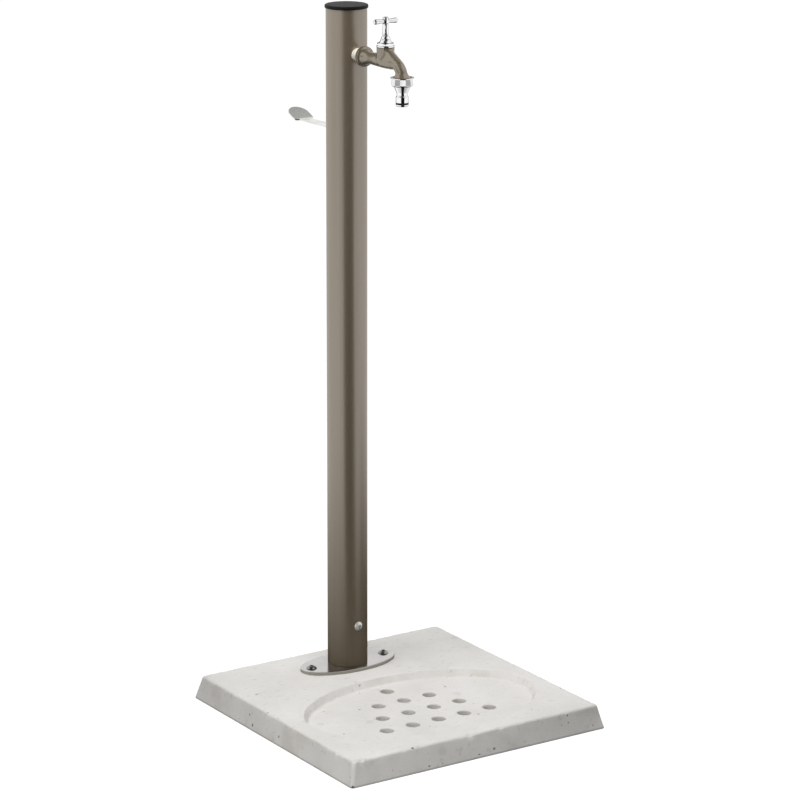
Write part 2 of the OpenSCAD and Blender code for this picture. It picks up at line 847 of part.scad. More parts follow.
module bonnet() {
    color(chrome) on_valve() difference() {
        union() {
            upright(bonnet_tail_end, bonnet_seat + skin, bonnet_tail_d);
            hexagon(bonnet_seat, bonnet_hex_top, bonnet_af);
            upright(bonnet_hex_top - skin, bonnet_cone_top, bonnet_cone_d, bonnet_neck_d);
            upright(bonnet_cone_top - skin, bonnet_top, bonnet_neck_d, bonnet_neck_top_d);
        }
        upright(bonnet_tail_end - cut, jumper_room_top, jumper_room_d);
        upright(bonnet_tail_end, thread_room_top, spindle_thread_d + 2 * turn_gap);
        upright(bonnet_tail_end, bonnet_top + cut, stem_bore_d);
    }
}

module spindle() {
    color(brass) on_valve() difference() {
        union() {
            upright(spindle_bottom, thread_run_top, spindle_thread_d);
            upright(thread_run_top - skin, bonnet_top, stem_d);
            translate([-drive_square / 2, -drive_square / 2, bonnet_top - cut]) {
                cube([drive_square, drive_square, spindle_top - bonnet_top + cut]);
            }
        }
        upright(spindle_bottom - cut, disc_top + jumper_stem_l + cut, jumper_stem_d + 2 * turn_gap);
        upright(hub_web_top - handle_screw_l - cut, spindle_top + cut, handle_screw_d + 2 * turn_gap);
        for (z = o_ring_z) difference() {
            upright(z - o_ring_groove_h / 2, z + o_ring_groove_h / 2, stem_d + cut);
            upright(z - o_ring_groove_h, z + o_ring_groove_h, 2 * o_ring_groove_r);
        }
    }
}

module spindle_o_rings() {
    color(rubber) on_valve() for (z = o_ring_z) ring(z, o_ring_path_r, o_ring_r);
}

// One arm of the handle's bar, from the hub to its rounded end
module handle_arm() {
    end_s = bar_l / 2 - bar_end_d / 2;
    along(0, end_s, bar_root_d, bar_end_d);
    translate([end_s, 0, 0]) sphere(d = bar_end_d);
}

module handle() {
    drive_hole = drive_square + 2 * turn_gap;
    color(chrome) on_valve() difference() {
        union() {
            upright(handle_bottom, handle_top - hub_edge_r, hub_d);
            upright(handle_top - hub_edge_r, handle_top, hub_d, hub_d - 2 * hub_edge_r);
            for (side = [-90, 90]) translate([0, 0, bar_z]) rotate([0, 0, side]) handle_arm();
        }
        translate([-drive_hole / 2, -drive_hole / 2, handle_bottom - cut]) {
            cube([drive_hole, drive_hole, hub_web_bottom - handle_bottom + cut]);
        }
        upright(handle_bottom, handle_top, handle_screw_d + 2 * slip_gap);
        upright(hub_web_top, handle_top + cut, handle_head_d + 2 * slip_gap);
    }
}

module handle_screw() {
    color(chrome) on_valve() difference() {
        union() {
            upright(hub_web_top, hub_web_top + handle_head_h, handle_head_d);
            upright(hub_web_top - handle_screw_l, hub_web_top + skin, handle_screw_d);
        }
        hexagon(hub_web_top + handle_head_h - handle_socket_depth, handle_top + cut, handle_socket_af);
    }
}

module jumper_valve() {
    color(brass) on_valve() {
        upright(disc_bottom, disc_top, jumper_d);
        upright(disc_top - skin, disc_top + jumper_stem_l, jumper_stem_d);
        upright(stud_end, disc_bottom + skin, jumper_stud_d);
    }
}

module valve_washer() {
    color(rubber) on_valve() difference() {
        upright(washer_bottom, washer_top, washer_d);
        upright(washer_bottom - cut, washer_top + cut, jumper_stud_d + 2 * turn_gap);
    }
}

module washer_nut() {
    nut_top_z = washer_bottom - seat_gap;
    color(brass) on_valve() difference() {
        hexagon(nut_top_z - washer_nut_h, nut_top_z, washer_nut_af);
        upright(nut_top_z - washer_nut_h - cut, nut_top_z + cut, jumper_stud_d + 2 * turn_gap);
    }
}

module hose_adapter() {
    color(chrome) on_spout() difference() {
        union() {
            translate([0, 0, nut_bottom]) rotate([0, 0, 180 / nut_sides]) {
                cylinder(h = nut_h, d = nut_d, $fn = nut_sides);
            }
            upright(nut_top - nut_lip_h, nut_top, nut_d);
            upright(waist_top, nut_bottom + skin, nipple_waist_d, nipple_cone_d);
            upright(waist_bottom, waist_top + skin, nipple_waist_d);
            upright(barrel_top, waist_bottom + skin, barrel_d, nipple_waist_d);
            upright(barrel_bottom, barrel_top, barrel_d);
            upright(tip_top - skin, barrel_bottom + skin, 2 * groove_r);
            upright(tip_bottom + tip_chamfer, tip_top, barrel_d);
            upright(tip_bottom, tip_bottom + tip_chamfer, barrel_d - 2 * tip_chamfer, barrel_d);
        }
        upright(adapter_floor, nut_top + cut, adapter_thread_d);
        upright(tip_bottom - cut, nut_top, nipple_bore_d);
    }
}

module adapter_washer() {
    color(rubber) on_spout() difference() {
        upright(adapter_seal_top - adapter_washer_t, adapter_seal_top, adapter_washer_d);
        upright(adapter_floor, adapter_seal_top + cut, nipple_bore_d);
    }
}

module nipple_o_ring() {
    color(rubber) on_spout() ring(tip_top + groove_h / 2, nipple_ring_path_r, nipple_ring_r);
}

module hose_hook() {
    round_s = tongue_l - tongue_w / 2;
    color(steel) difference() {
        union() {
            behind_column(hook_z) translate([hook_reach, 0, 0]) {
                rotate([0, arm_fall, 0]) translate([-arm_l, -arm_w / 2, 0]) cube([arm_l, arm_w, hook_t]);
                rotate([0, -tongue_rise, 0]) {
                    translate([0, -tongue_w / 2, 0]) cube([round_s, tongue_w, hook_t]);
                    translate([round_s, 0, 0]) cylinder(d = tongue_w, h = hook_t);
                }
            }
            intersection() {
                on_column() upright(foot_top - foot_l, foot_top + hook_t, 2 * (foot_r + hook_t));
                behind_column(foot_top - foot_l) translate([0, -arm_w / 2, 0]) cube([column_d, arm_w, foot_l + hook_t]);
            }
        }
        on_column() upright(foot_top - foot_l - cut, column_top, 2 * foot_r);
        for (z = hook_screw_z) behind_column(z) along(0, column_d, hook_screw_d + 2 * hole_gap);
    }
}

module hook_screws() {
    for (z = hook_screw_z) color(steel) behind_column(z) translate([foot_r + hook_t + seat_gap, 0, 0]) {
        rotate([0, 90, 0]) {
            button_screw(hook_screw_d, hook_screw_l, hook_head_d, hook_head_h, hook_socket_af, hook_socket_depth);
        }
    }
}

module hook_inserts() {
    bulge_s = sqrt(column_ir * column_ir - hook_bulge_d * hook_bulge_d / 4) - seat_gap;
    for (z = hook_screw_z) color(steel) behind_column(z) difference() {
        union() {
            along(column_r - hook_insert_l, hook_insert_face, hook_insert_d);
            along(bulge_s - hook_bulge_l, bulge_s, hook_bulge_d);
        }
        along(column_r - hook_insert_l - cut, column_r + cut, hook_screw_d + 2 * turn_gap);
    }
}

base_tray();
tray_inserts();
base_plate();
plate_screws();
column_spigot();
spigot_screws();
column_tube();
clamp_screw();
column_cap();
inlet_coupling();
inlet_lock_nut();
riser_pipe();
compression_nuts();
compression_olives();
pipe_elbow();
inner_saddle();
saddle_spacer();
tap_body();
bonnet_gasket();
bonnet();
spindle();
spindle_o_rings();
handle();
handle_screw();
jumper_valve();
valve_washer();
washer_nut();
hose_adapter();
adapter_washer();
nipple_o_ring();
hose_hook();
hook_screws();
hook_inserts();
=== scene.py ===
import math

import bpy
import numpy as np
from mathutils import Matrix, Vector


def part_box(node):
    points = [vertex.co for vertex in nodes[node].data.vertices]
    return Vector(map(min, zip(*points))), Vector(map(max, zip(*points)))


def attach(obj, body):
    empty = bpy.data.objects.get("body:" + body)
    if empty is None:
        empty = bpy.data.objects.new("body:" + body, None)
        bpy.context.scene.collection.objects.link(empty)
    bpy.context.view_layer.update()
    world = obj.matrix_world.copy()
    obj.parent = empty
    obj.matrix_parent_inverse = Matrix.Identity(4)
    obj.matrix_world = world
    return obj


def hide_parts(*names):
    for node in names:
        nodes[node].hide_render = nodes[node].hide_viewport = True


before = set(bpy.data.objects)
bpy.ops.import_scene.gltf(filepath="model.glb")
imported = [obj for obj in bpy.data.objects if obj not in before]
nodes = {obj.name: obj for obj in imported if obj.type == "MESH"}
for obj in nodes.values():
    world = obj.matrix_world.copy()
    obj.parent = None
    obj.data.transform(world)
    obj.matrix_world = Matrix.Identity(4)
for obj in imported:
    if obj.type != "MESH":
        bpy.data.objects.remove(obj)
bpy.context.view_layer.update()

# Stone tray: one slab of fine pale concrete, cast upside down in a mould that leaves leaning sides,
# soft edges and an oval recess for the bucket. Thirteen drain holes and the passage for the pipe are
# cored through it, and two pockets hold the inserts.
MM = 0.001
tray_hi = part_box("base_tray")[1]
TRAY_HALF = tray_hi.x
TRAY_TOP = tray_hi.z
TRAY_TAPER = 9 * MM
TRAY_CORNER_R = 5 * MM
TRAY_EDGE_EASE = 4.2 * MM
TRAY_FOOT_EASE = 1 * MM
TRAY_FOOT_RIM = 6 * MM
TRAY_SHOULDER = 9 * MM
RECESS_A = 187 * MM
RECESS_B = 123 * MM
RECESS_Y = -64 * MM
RECESS_FLOOR = TRAY_TOP - 11 * MM
RECESS_WALL = 6.5 * MM
RECESS_FLOOR_RIM = 22 * MM
RECESS_TOP_RIM = 14 * MM
RECESS_FLOOR_EASE = 2.4 * MM
RECESS_LIP_EASE = 1.4 * MM
WANDER_FADE = 8 * MM
CHIP_SIZES = (2.5, 6)
CHIP_DEPTH = 0.17
CHIP_INSET = 0.4 * MM
DRAIN_R = 10 * MM
DRAIN_LIP = 2.4 * MM
DRAIN_PITCH = 44.7 * MM
DRAIN_ROW_PITCH = 45.7 * MM
DRAIN_ROWS = [(-1, 5), (0, 4), (1, 3), (2, 1)]
COLUMN_Y = 137 * MM
PASSAGE_R = 23 * MM
INSERT_SPAN = 128 * MM
INSERT_PLACES = [(side * INSERT_SPAN / 2, COLUMN_Y) for side in (-1, 1)]
INSERT_R = 6.55 * MM
INSERT_L = 20 * MM
CUT_PAST = 2 * MM


def eased(points, reach, steps=6):
    """Rounds the corners of a polyline: each corner becomes a parabola that starts and ends `reach` away
    from it. Columns after the second are carried along. Points that fall together are dropped."""
    points = np.asarray(points, float)
    reach = np.broadcast_to(np.asarray(reach, float), len(points)).copy()
    reach[[0, -1]] = 0
    before = np.roll(points, 1, 0) - points
    after = np.roll(points, -1, 0) - points
    start = points + before * (reach / np.linalg.norm(before[:, :2], axis=1))[:, None]
    end = points + after * (reach / np.linalg.norm(after[:, :2], axis=1))[:, None]
    t = np.linspace(0, 1, steps + 1)[None, :, None]
    line = (1 - t) ** 2 * start[:, None] + 2 * t * (1 - t) * points[:, None] + t ** 2 * end[:, None]
    line = line.reshape(-1, points.shape[1])
    apart = np.linalg.norm(np.diff(line, axis=0), axis=1) > 1e-7
    return line[np.r_[True, apart]]


def shade(mesh, soft_angle):
    """Smooth shading that breaks at edges sharper than the given angle in degrees."""
    mesh.polygons.foreach_set("use_smooth", np.ones(len(mesh.polygons), bool))
    mesh.set_sharp_from_angle(angle=math.radians(soft_angle))


def placed(name, data):
    """New object in the scene."""
    made = bpy.data.objects.new(name, data)
    bpy.context.scene.collection.objects.link(made)
    return made


def mesh_piece(name, points, faces, soft_angle=35):
    """New object from points and faces, turned outwards if its enclosed volume comes out negative."""
    first, second, third, last = [points[[f[k] for f in faces]] for k in (0, 1, 2, -1)]
    volume = np.einsum("ij,ij", first, np.cross(second, third) + np.cross(third, last))
    if volume < 0:
        faces = [f[::-1] for f in faces]
    mesh = bpy.data.meshes.new(name)
    mesh.from_pydata(points.tolist(), [], faces)
    shade(mesh, soft_angle)
    return placed(name, mesh)


def skin(name, shells, joined=False, soft_angle=35):
    """Mesh over shells of rings, each an array of rings x points x 3. Quads join neighbours round a ring
    and from ring to ring. The end rings are closed by fans to their middles, or meet where joined."""
    points, faces, count = [], [], 0
    for rings in shells:
        rows, columns = rings.shape[:2]
        number = np.arange(rows * columns).reshape(rows, columns)
        flat = rings.reshape(-1, 3)
        if joined:
            number = np.vstack([number, number[:1]])
        else:
            hubs = np.array([[rows * columns], [rows * columns + 1]])
            flat = np.vstack([flat, rings[0].mean(0), rings[-1].mean(0)])
            ends = np.stack([np.roll(number[[0, -1]], -1, 1), number[[0, -1]]], -1)
            ends[1] = ends[1, :, ::-1]
            fans = np.concatenate([ends, np.broadcast_to(hubs[:, :, None], (2, columns, 1))], -1)
            faces += (fans.reshape(-1, 3) + count).tolist()
        here, there = number[:-1], number[1:]
        quads = np.stack([here, np.roll(here, -1, 1), np.roll(there, -1, 1), there], -1)
        faces += (quads.reshape(-1, 4) + count).tolist()
        points.append(flat)
        count += len(flat)
    return mesh_piece(name, np.vstack(points), faces, soft_angle)


def full_turn(sides):
    """Even angles once round a circle."""
    return np.linspace(0, 2 * np.pi, sides, endpoint=False)


def spokes(axis, angle):
    """Unit vectors square to an axis, at the given angles round it."""
    side = np.cross(axis, [0.36, 0.48, 0.8])
    side /= np.linalg.norm(side)
    return np.cos(angle)[:, None] * side + np.sin(angle)[:, None] * np.cross(axis, side)


def turned(profile, place, axis=(0, 0, 1), sides=96):
    """Rings of a lathe shape: each profile row is a radius and a distance along the axis."""
    radius, along = np.asarray(profile).T[..., None, None]
    return np.array(place) + radius * spokes(axis, full_turn(sides)) + along * np.array(axis)


def drill(radius, start, end, place, axis=(0, 0, 1), sides=48):
    """Rings of a plain drill that reaches from one distance along its axis to another."""
    core = radius * 0.01
    return turned([(core, start), (radius, start), (radius, end), (core, end)], place, axis, sides)


def cut_away(piece, cutter, soft_angle=35, operation="DIFFERENCE"):
    """Takes a closed cutter out of a piece, or adds it, and deletes the cutter."""
    step = piece.modifiers.new("cut", "BOOLEAN")
    step.operation = operation
    step.solver = "MANIFOLD"
    step.object = cutter
    depsgraph = bpy.context.evaluated_depsgraph_get()
    mesh = bpy.data.meshes.new_from_object(piece.evaluated_get(depsgraph))
    piece.modifiers.clear()
    piece.data = mesh
    bpy.data.objects.remove(cutter)
    shade(mesh, soft_angle)


def wander(points, wavelength, seed, waves=14):
    """Smooth noise of about unit size: the scaled sum of sine waves that run in random directions."""
    rng = np.random.default_rng(seed)
    heading = rng.normal(size=(waves, 3))
    heading *= 2 * np.pi / wavelength / np.linalg.norm(heading, axis=1, keepdims=True)
    phase = rng.uniform(0, 2 * np.pi, waves)
    return np.sin(points @ heading.T + phase).sum(-1) / np.sqrt(waves)


def square_outline(half, corner_r, angle):
    """Points where rays from the middle of a square with round corners cross its outline."""
    ray = np.stack([np.cos(angle), np.sin(angle)], -1)
    reach = np.abs(ray)
    flat = half / reach.max(-1)
    core = half - corner_r
    along = reach.sum(-1) * core
    corner = along + np.sqrt(np.maximum(along ** 2 - 2 * core ** 2 + corner_r ** 2, 0))
    in_corner = (flat * reach.min(-1)) > core
    return ray * np.where(in_corner, corner, flat)[:, None]


def tray_rings(sides=640):
    """Rings of the slab. Rays fan out from the middle of the recess to the slab's outline. Rings follow
    the oval on the recess floor and wall, pass over the top face from oval to square, and follow the
    square down the side."""
    v = np.linspace(-1, 1, sides // 4, endpoint=False)
    u = 0.6 * v + 0.4 * np.sin(np.pi * v / 2)
    angle = (np.arctan(u)[None, :] + np.pi / 2 * np.arange(4)[:, None]).ravel()
    middle = np.array([0, RECESS_Y])
    top_half = TRAY_HALF - TRAY_TAPER
    foot_half = TRAY_HALF - TRAY_FOOT_RIM
    ray = square_outline(top_half, TRAY_CORNER_R, angle) - middle
    bearing = ray / np.linalg.norm(ray, axis=1, keepdims=True)
    oval_r = RECESS_A * RECESS_B / np.hypot(RECESS_B * bearing[:, 0], RECESS_A * bearing[:, 1])

    def level(outline, z):
        """A flat outline at a height."""
        return np.concatenate([outline, np.full((len(outline), 1), z)], -1)

    def oval(radius, z):
        """Points on the rays, at the given distances from the middle of the recess."""
        return level(middle + bearing * radius[:, None], z)

    def square(half, corner_r, z):
        """Points of a square with round corners."""
        return level(square_outline(half, corner_r, angle), z)

    wall_line = eased([(-RECESS_FLOOR_RIM, RECESS_FLOOR), (-RECESS_WALL, RECESS_FLOOR), (0, TRAY_TOP),
                       (RECESS_TOP_RIM, TRAY_TOP)], [0, RECESS_FLOOR_EASE, RECESS_LIP_EASE, 0], steps=8)
    side_line = eased([(top_half - TRAY_SHOULDER, TRAY_TOP), (top_half, TRAY_TOP), (TRAY_HALF, 0),
                       (foot_half, 0)], [0, TRAY_EDGE_EASE, TRAY_FOOT_EASE, 0], steps=8)
    floor = [oval(oval_r * f, RECESS_FLOOR) for f in np.linspace(0.03, 0.84, 16)]
    wall = [oval(oval_r + d, z) for d, z in wall_line]
    inner = wall[-1][:, :2]
    shoulder = square_outline(side_line[0, 0], TRAY_CORNER_R, angle)
    top = [level(inner + (shoulder - inner) * f, TRAY_TOP) for f in np.linspace(0.03, 0.97, 36)]
    at = np.linspace(0, len(side_line) - 1, 34)
    side_line = np.stack([np.interp(at, np.arange(len(side_line)), line) for line in side_line.T], -1)
    side = [square(half, TRAY_CORNER_R, z) for half, z in side_line]
    under = [square(foot_half * f, TRAY_CORNER_R * f, 0) for f in (0.8, 0.4, 0.1)]
    return np.array(floor + wall + top + side + under)


def worn(rings, chips=70, seed=11):
    """Cast roughness: the surface wanders by about a third of a millimetre, which fades out towards the
    ground so that the slab stands flat, and shallow round chips are knocked out of the top edge."""
    rng = np.random.default_rng(seed)
    rise = np.clip(rings[..., 2:] / WANDER_FADE, 0, 1)
    drift = np.stack([wander(rings, 34 * MM, seed + k) * 0.22 + wander(rings, 9 * MM, seed + 9 + k) * 0.1
                      for k in range(3)], -1) * MM
    edge = TRAY_HALF - TRAY_TAPER
    along = rng.uniform(-1, 1, chips) * edge
    turn = rng.integers(0, 4, chips) * np.pi / 2
    out = edge - CHIP_INSET
    spot = np.stack([out * np.cos(turn) - along * np.sin(turn), out * np.sin(turn) + along * np.cos(turn),
                     np.full(chips, TRAY_TOP - CHIP_INSET)], -1)
    size = rng.uniform(*CHIP_SIZES, chips) * MM
    flat = (rings + drift * rise).reshape(-1, 3)
    gap = np.linalg.norm(flat[:, None] - spot[None], axis=-1) / size
    bite = (np.clip(1 - gap ** 2, 0, 1) ** 2 * size * CHIP_DEPTH).sum(1)
    inward = flat * [-1, -1, 0]
    inward /= np.linalg.norm(inward, axis=1, keepdims=True) + 1e-9
    flat += bite[:, None] * (0.6 * inward + [0, 0, -0.8])
    return flat.reshape(rings.shape)


tray = skin("base_tray_stone", [worn(tray_rings())], soft_angle=50)
drain_line = eased([(0.2 * MM, -CUT_PAST), (DRAIN_R, -CUT_PAST), (DRAIN_R, RECESS_FLOOR - 0.4 * MM),
                    (DRAIN_R + DRAIN_LIP, RECESS_FLOOR + 1 * MM), (0.2 * MM, RECESS_FLOOR + 1 * MM)],
                   [0, 0, 1.6 * MM, 0, 0])
cored = [turned(drain_line, ((i - (count - 1) / 2) * DRAIN_PITCH, RECESS_Y + row * DRAIN_ROW_PITCH, 0),
                sides=64) for row, count in DRAIN_ROWS for i in range(count)]
cored.append(drill(PASSAGE_R, -CUT_PAST, TRAY_TOP + CUT_PAST, (0, COLUMN_Y, 0), sides=64))
cored += [drill(INSERT_R, -INSERT_L, CUT_PAST, (*place, TRAY_TOP), sides=64) for place in INSERT_PLACES]
cut_away(tray, skin("cores", cored), soft_angle=50)


def tone(red, green, blue):
    """Linear colour of an sRGB colour given in bytes."""
    share = np.array([red, green, blue]) / 255
    return (*np.where(share <= 0.04045, share / 12.92, ((share + 0.055) / 1.055) ** 2.4).tolist(), 1)


def wire(made, inputs):
    """Sets inputs of a shader node. Each is a value, or another node's output that is linked to it."""
    for key, value in inputs.items():
        if isinstance(value, bpy.types.NodeSocket):
            made.id_data.links.new(value, made.inputs[key])
        else:
            made.inputs[key].default_value = value


def node(near, kind, inputs=None, **settings):
    """Adds a shader node, with its settings and inputs, to the tree of another node or its output."""
    made = near.id_data.nodes.new("ShaderNode" + kind)
    for key, value in settings.items():
        setattr(made, key, value)
    wire(made, inputs or {})
    return made


def blank_finish(name):
    """New material with its shader and the piece's own coordinates, in metres."""
    made = bpy.data.materials.new(name)
    made.use_nodes = True
    shader = made.node_tree.nodes["Principled BSDF"]
    return made, shader, node(shader, "TexCoord").outputs["Object"]


def grain(where, scale, detail, stretch=None):
    """Noise between 0 and 1 with the given number of bumps per metre, stretched per axis if asked."""
    if stretch:
        where = node(where, "Mapping", {"Vector": where, "Scale": stretch}).outputs[0]
    return node(where, "TexNoise", {"Vector": where, "Scale": scale, "Detail": detail}).outputs[0]


def ranged(value, low, high, to_low, to_high):
    """Maps a value from one range to another, without passing its ends."""
    return node(value, "MapRange", {"Value": value, "From Min": low, "From Max": high,
                                    "To Min": to_low, "To Max": to_high}).outputs[0]


def mixed(share, first, second):
    """Colour between two colours, by a share from 0 to 1."""
    made = node(share, "Mix", {"Factor": share, "A": first, "B": second}, data_type="RGBA")
    return made.outputs["Result"]


def math_of(operation, first, second=0.0):
    """One sum, comparison or other reckoning with two values."""
    return node(first, "Math", {0: first, 1: second}, operation=operation).outputs[0]


def times(first, second):
    """Product of two values."""
    return math_of("MULTIPLY", first, second)


def bumped(shader, height, strength, distance):
    """Lets a height, in units of the distance, tilt the shader's surface."""
    bump = node(shader, "Bump", {"Height": height, "Strength": strength, "Distance": distance})
    wire(shader, {"Normal": bump.outputs[0]})


def chips_in(where, cells, share, least, most):
    """Scattered chips: of the cells per metre only a share holds one, of a random size in its cell."""
    cell = node(where, "TexVoronoi", {"Vector": where, "Scale": cells, "Randomness": 1.0})
    picks = node(where, "SeparateColor", {"Color": cell.outputs["Color"]})
    size = ranged(picks.outputs[1], 0, 1, least, most)
    inside = ranged(math_of("SUBTRACT", size, cell.outputs["Distance"]), 0, 0.06, 0, 1)
    return times(inside, math_of("GREATER_THAN", picks.outputs[0], 1 - share))


def height_part(vector):
    """The upward part of a direction or a place."""
    return node(vector, "SeparateXYZ", {0: vector}).outputs["Z"]


def cast_stone():
    """Pale cement with faint clouds, sand grains, dark grit, tan chips, scuffs and air pits. The cast
    sides hold more pits than the top and a few warm stains, and a painted contact shadow darkens a thin
    line along the foot of the sides."""
    made, shader, where = blank_finish("cast_stone")
    bend = node(where, "TexNoise", {"Vector": where, "Scale": 420.0, "Detail": 1.0}).outputs["Color"]
    bend = node(where, "VectorMath", {0: bend, 1: (0.004, 0.004, 0.004)}, operation="MULTIPLY").outputs[0]
    crooked = node(where, "VectorMath", {0: where, 1: bend}, operation="ADD").outputs[0]
    upward = height_part(node(where, "NewGeometry").outputs["Normal"])
    on_side = ranged(upward, 0.5, 0.9, 1, 0)
    clouds = ranged(grain(where, 14, 4), 0.3, 0.7, 0, 1)
    stains = times(ranged(grain(where, 22, 3), 0.5, 0.7, 0, 0.3), on_side)
    # Painted contact shadow: a thin dark band at the foot of the sides stands in for the floor's shadow.
    painted_contact_shadow = times(ranged(height_part(where), 0.0004, 0.0035, 0.6, 0), on_side)
    scuffs = ranged(grain(crooked, 75, 5, (1, 2.5, 1)), 0.62, 0.7, 0, 0.4)
    patches = times(chips_in(crooked, 34, 0.22, 0.06, 0.3), 0.22)
    sand = ranged(grain(where, 900, 2), 0.35, 0.65, 0, 0.12)
    grit = times(chips_in(crooked, 210, 0.2, 0.1, 0.3), 0.35)
    tan_chips = times(chips_in(crooked, 62, 0.1, 0.05, 0.16), 0.55)
    dark = math_of("MAXIMUM", times(chips_in(crooked, 70, 0.24, 0.05, 0.2), on_side),
                   chips_in(crooked, 82, 0.12, 0.05, 0.17))
    colour = tone(223, 221, 217)
    for share, tint in ((clouds, (233, 231, 228)), (stains, (186, 174, 160)), (painted_contact_shadow, (104, 100, 92)),
                        (scuffs, (186, 184, 180)), (patches, (176, 174, 170)), (sand, (176, 168, 158)),
                        (grit, (170, 163, 152)), (tan_chips, (176, 150, 118)),
                        (times(dark, 0.85), (84, 80, 76))):
        colour = mixed(share, colour, tone(*tint))
    wire(shader, {"Base Color": colour, "Roughness": 0.82, "Specular IOR Level": 0.3})
    pits = math_of("ADD", chips_in(crooked, 130, 0.16, 0.08, 0.22), dark)
    height = math_of("SUBTRACT", grain(where, 700, 4), times(pits, 1.6))
    bumped(shader, height, 0.5, 0.0005)
    return made


def dress(piece, finish, body, slot, *replaced):
    """Gives a piece its finish and the body that it rides on, and hides the nodes that it stands for. The
    slot is not used.
    """
    piece.data.materials.clear()
    piece.data.materials.append(finish)
    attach(piece, body)
    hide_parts(*replaced)


dress(tray, cast_stone(), "stand", "cast_stone", "base_tray")
tray.visible_glossy = False

# Threaded inserts: two brass bushes that are set in the stone when it is cast. The plate screws go into
# them. Turned brass has fine rings of tool marks and a light tarnish.


def patchy_finish(name, bright, dull, patches, spread, shine, others, most=1, bump=None):
    """Finish that goes from one colour and roughness to another by patches. Noise with the given scale,
    detail and stretch gives the share of the dull state, from none to most of it between two values of
    the noise. Bump is a noise of its own with its strength and distance. Others are set as they are."""
    made, shader, where = blank_finish(name)
    share = ranged(grain(where, *patches), *spread, 0, most)
    wire(shader, {"Base Color": mixed(share, tone(*bright), tone(*dull)),
                        "Roughness": ranged(share, 0, most, *shine), **others})
    if bump:
        bumped(shader, grain(where, *bump[0]), *bump[1:])
    return made


def refinish(finish, *names):
    """Gives CAD nodes that stay as they are a better finish."""
    for name in names:
        for slot in nodes[name].material_slots:
            slot.material = finish


brass = patchy_finish("turned_brass", (214, 182, 112), (176, 142, 84), (160, 3), (0.35, 0.7), (0.24, 0.4),
                      {"Metallic": 1}, bump=((400, 2, (1, 1, 6)), 0.2, 0.0002))
refinish(brass, "tray_inserts")

# Base plate: an oval of stainless plate, cut by laser, edge-rounded and polished to a mirror. It carries
# the column and lies on the stone under two screws.
plate_lo, plate_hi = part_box("base_plate")
PLATE_A = plate_hi.x
PLATE_B = (plate_hi.y - plate_lo.y) / 2
PLATE_T = plate_hi.z - plate_lo.z
PLATE_RIM = 10 * MM
PLATE_LIP_EASE = 1.3 * MM
PLATE_FOOT_EASE = 0.4 * MM
PLATE_BORE_R = 13.55 * MM
PLATE_HOLE_R = 4.35 * MM
PLATE_PAST = 1 * MM
SPIGOT_SCREW_RING = 23.8 * MM
SPIGOT_SCREW_TURNS = (90, 210, 330)
SPIGOT_HOLE_R = 2.35 * MM
SINK_R = 5.2 * MM
SINK_L = 2 * MM


def plate_rings(sides=192):
    """Rings of the plate: up the oval edge with its rounded lips, over the top to the round bore, down
    it and back."""
    angle = full_turn(sides)
    edge = eased([(-PLATE_RIM, 0), (0, 0), (0, PLATE_T), (-PLATE_RIM, PLATE_T)],
                 [0, PLATE_FOOT_EASE, PLATE_LIP_EASE, 0])
    oval = np.stack([np.cos(angle) * (PLATE_A + edge[:, :1]), np.sin(angle) * (PLATE_B + edge[:, :1]),
                     np.broadcast_to(edge[:, 1:], (len(edge), sides))], -1)
    bore = np.stack([np.cos(angle), np.sin(angle)], -1) * PLATE_BORE_R
    lip = [np.concatenate([bore, np.full((sides, 1), z)], -1) for z in (PLATE_T, 0)]
    return np.concatenate([oval, lip]) + [0, COLUMN_Y, plate_lo.z]


plate = skin("base_plate_polished", [plate_rings()], joined=True)
plate_holes = [drill(PLATE_HOLE_R, -PLATE_PAST, PLATE_T + PLATE_PAST, (*place, plate_lo.z))
               for place in INSERT_PLACES]
sink_line = [(0.1 * MM, -PLATE_PAST), (SINK_R, -PLATE_PAST), (SINK_R, 0), (SPIGOT_HOLE_R, SINK_L),
             (SPIGOT_HOLE_R, PLATE_T + PLATE_PAST), (0.1 * MM, PLATE_T + PLATE_PAST)]
plate_holes += [turned(sink_line, (SPIGOT_SCREW_RING * np.cos(turn),
                                   COLUMN_Y + SPIGOT_SCREW_RING * np.sin(turn), plate_lo.z), sides=48)
                for turn in np.radians(SPIGOT_SCREW_TURNS)]
cut_away(plate, skin("plate_holes", plate_holes))


def polished_steel(name, colour, roughness, stretch, edge_roughness, edge_metal=1, edge_colour=None):
    """Stainless steel, polished: nearly a mirror, with hairlines along one direction and a few dull
    smears. Faces that stand upright, such as cut edges, are duller, and have a colour of their own where
    the cut is left raw."""
    made, shader, where = blank_finish(name)
    hairlines = grain(where, 900, 3, stretch)
    smears = ranged(grain(where, 26, 4), 0.45, 0.75, 0, 1)
    colour = mixed(times(smears, 0.2), tone(*colour), tone(120, 118, 114))
    upright = height_part(node(where, "NewGeometry").outputs["Normal"])
    upright = ranged(math_of("ABSOLUTE", upright), 0.5, 0.9, 1, 0)
    if edge_colour:
        colour = mixed(upright, colour, tone(*edge_colour))
    shine = math_of("ADD", ranged(hairlines, 0.3, 0.7, roughness, roughness * 1.7),
                    times(smears, 0.07))
    shine = math_of("ADD", shine, times(upright, edge_roughness - roughness))
    metal = ranged(upright, 0, 1, 1, edge_metal) if edge_metal < 1 else 1
    wire(shader, {"Base Color": colour, "Roughness": shine, "Metallic": metal})
    bumped(shader, hairlines, 0.04, 0.0002)
    return made


mirror_steel = polished_steel("mirror_steel", (196, 194, 192), 0.1, (1, 8, 1), 0.5, 0.3, (172, 168, 157))
dress(plate, mirror_steel, "stand", "polished_steel", "base_plate")
plate.visible_glossy = False

# Plate screws: two stainless button-head screws with hexagon sockets. They go through the plate into the
# inserts, and clamp it to the stone.
SCREW_R = 4 * MM
SOCKET_AF = 5 * MM
PLATE_HEAD_R = 8 * MM
PLATE_HEAD_H = 4.5 * MM
PLATE_SCREW_L = 21 * MM


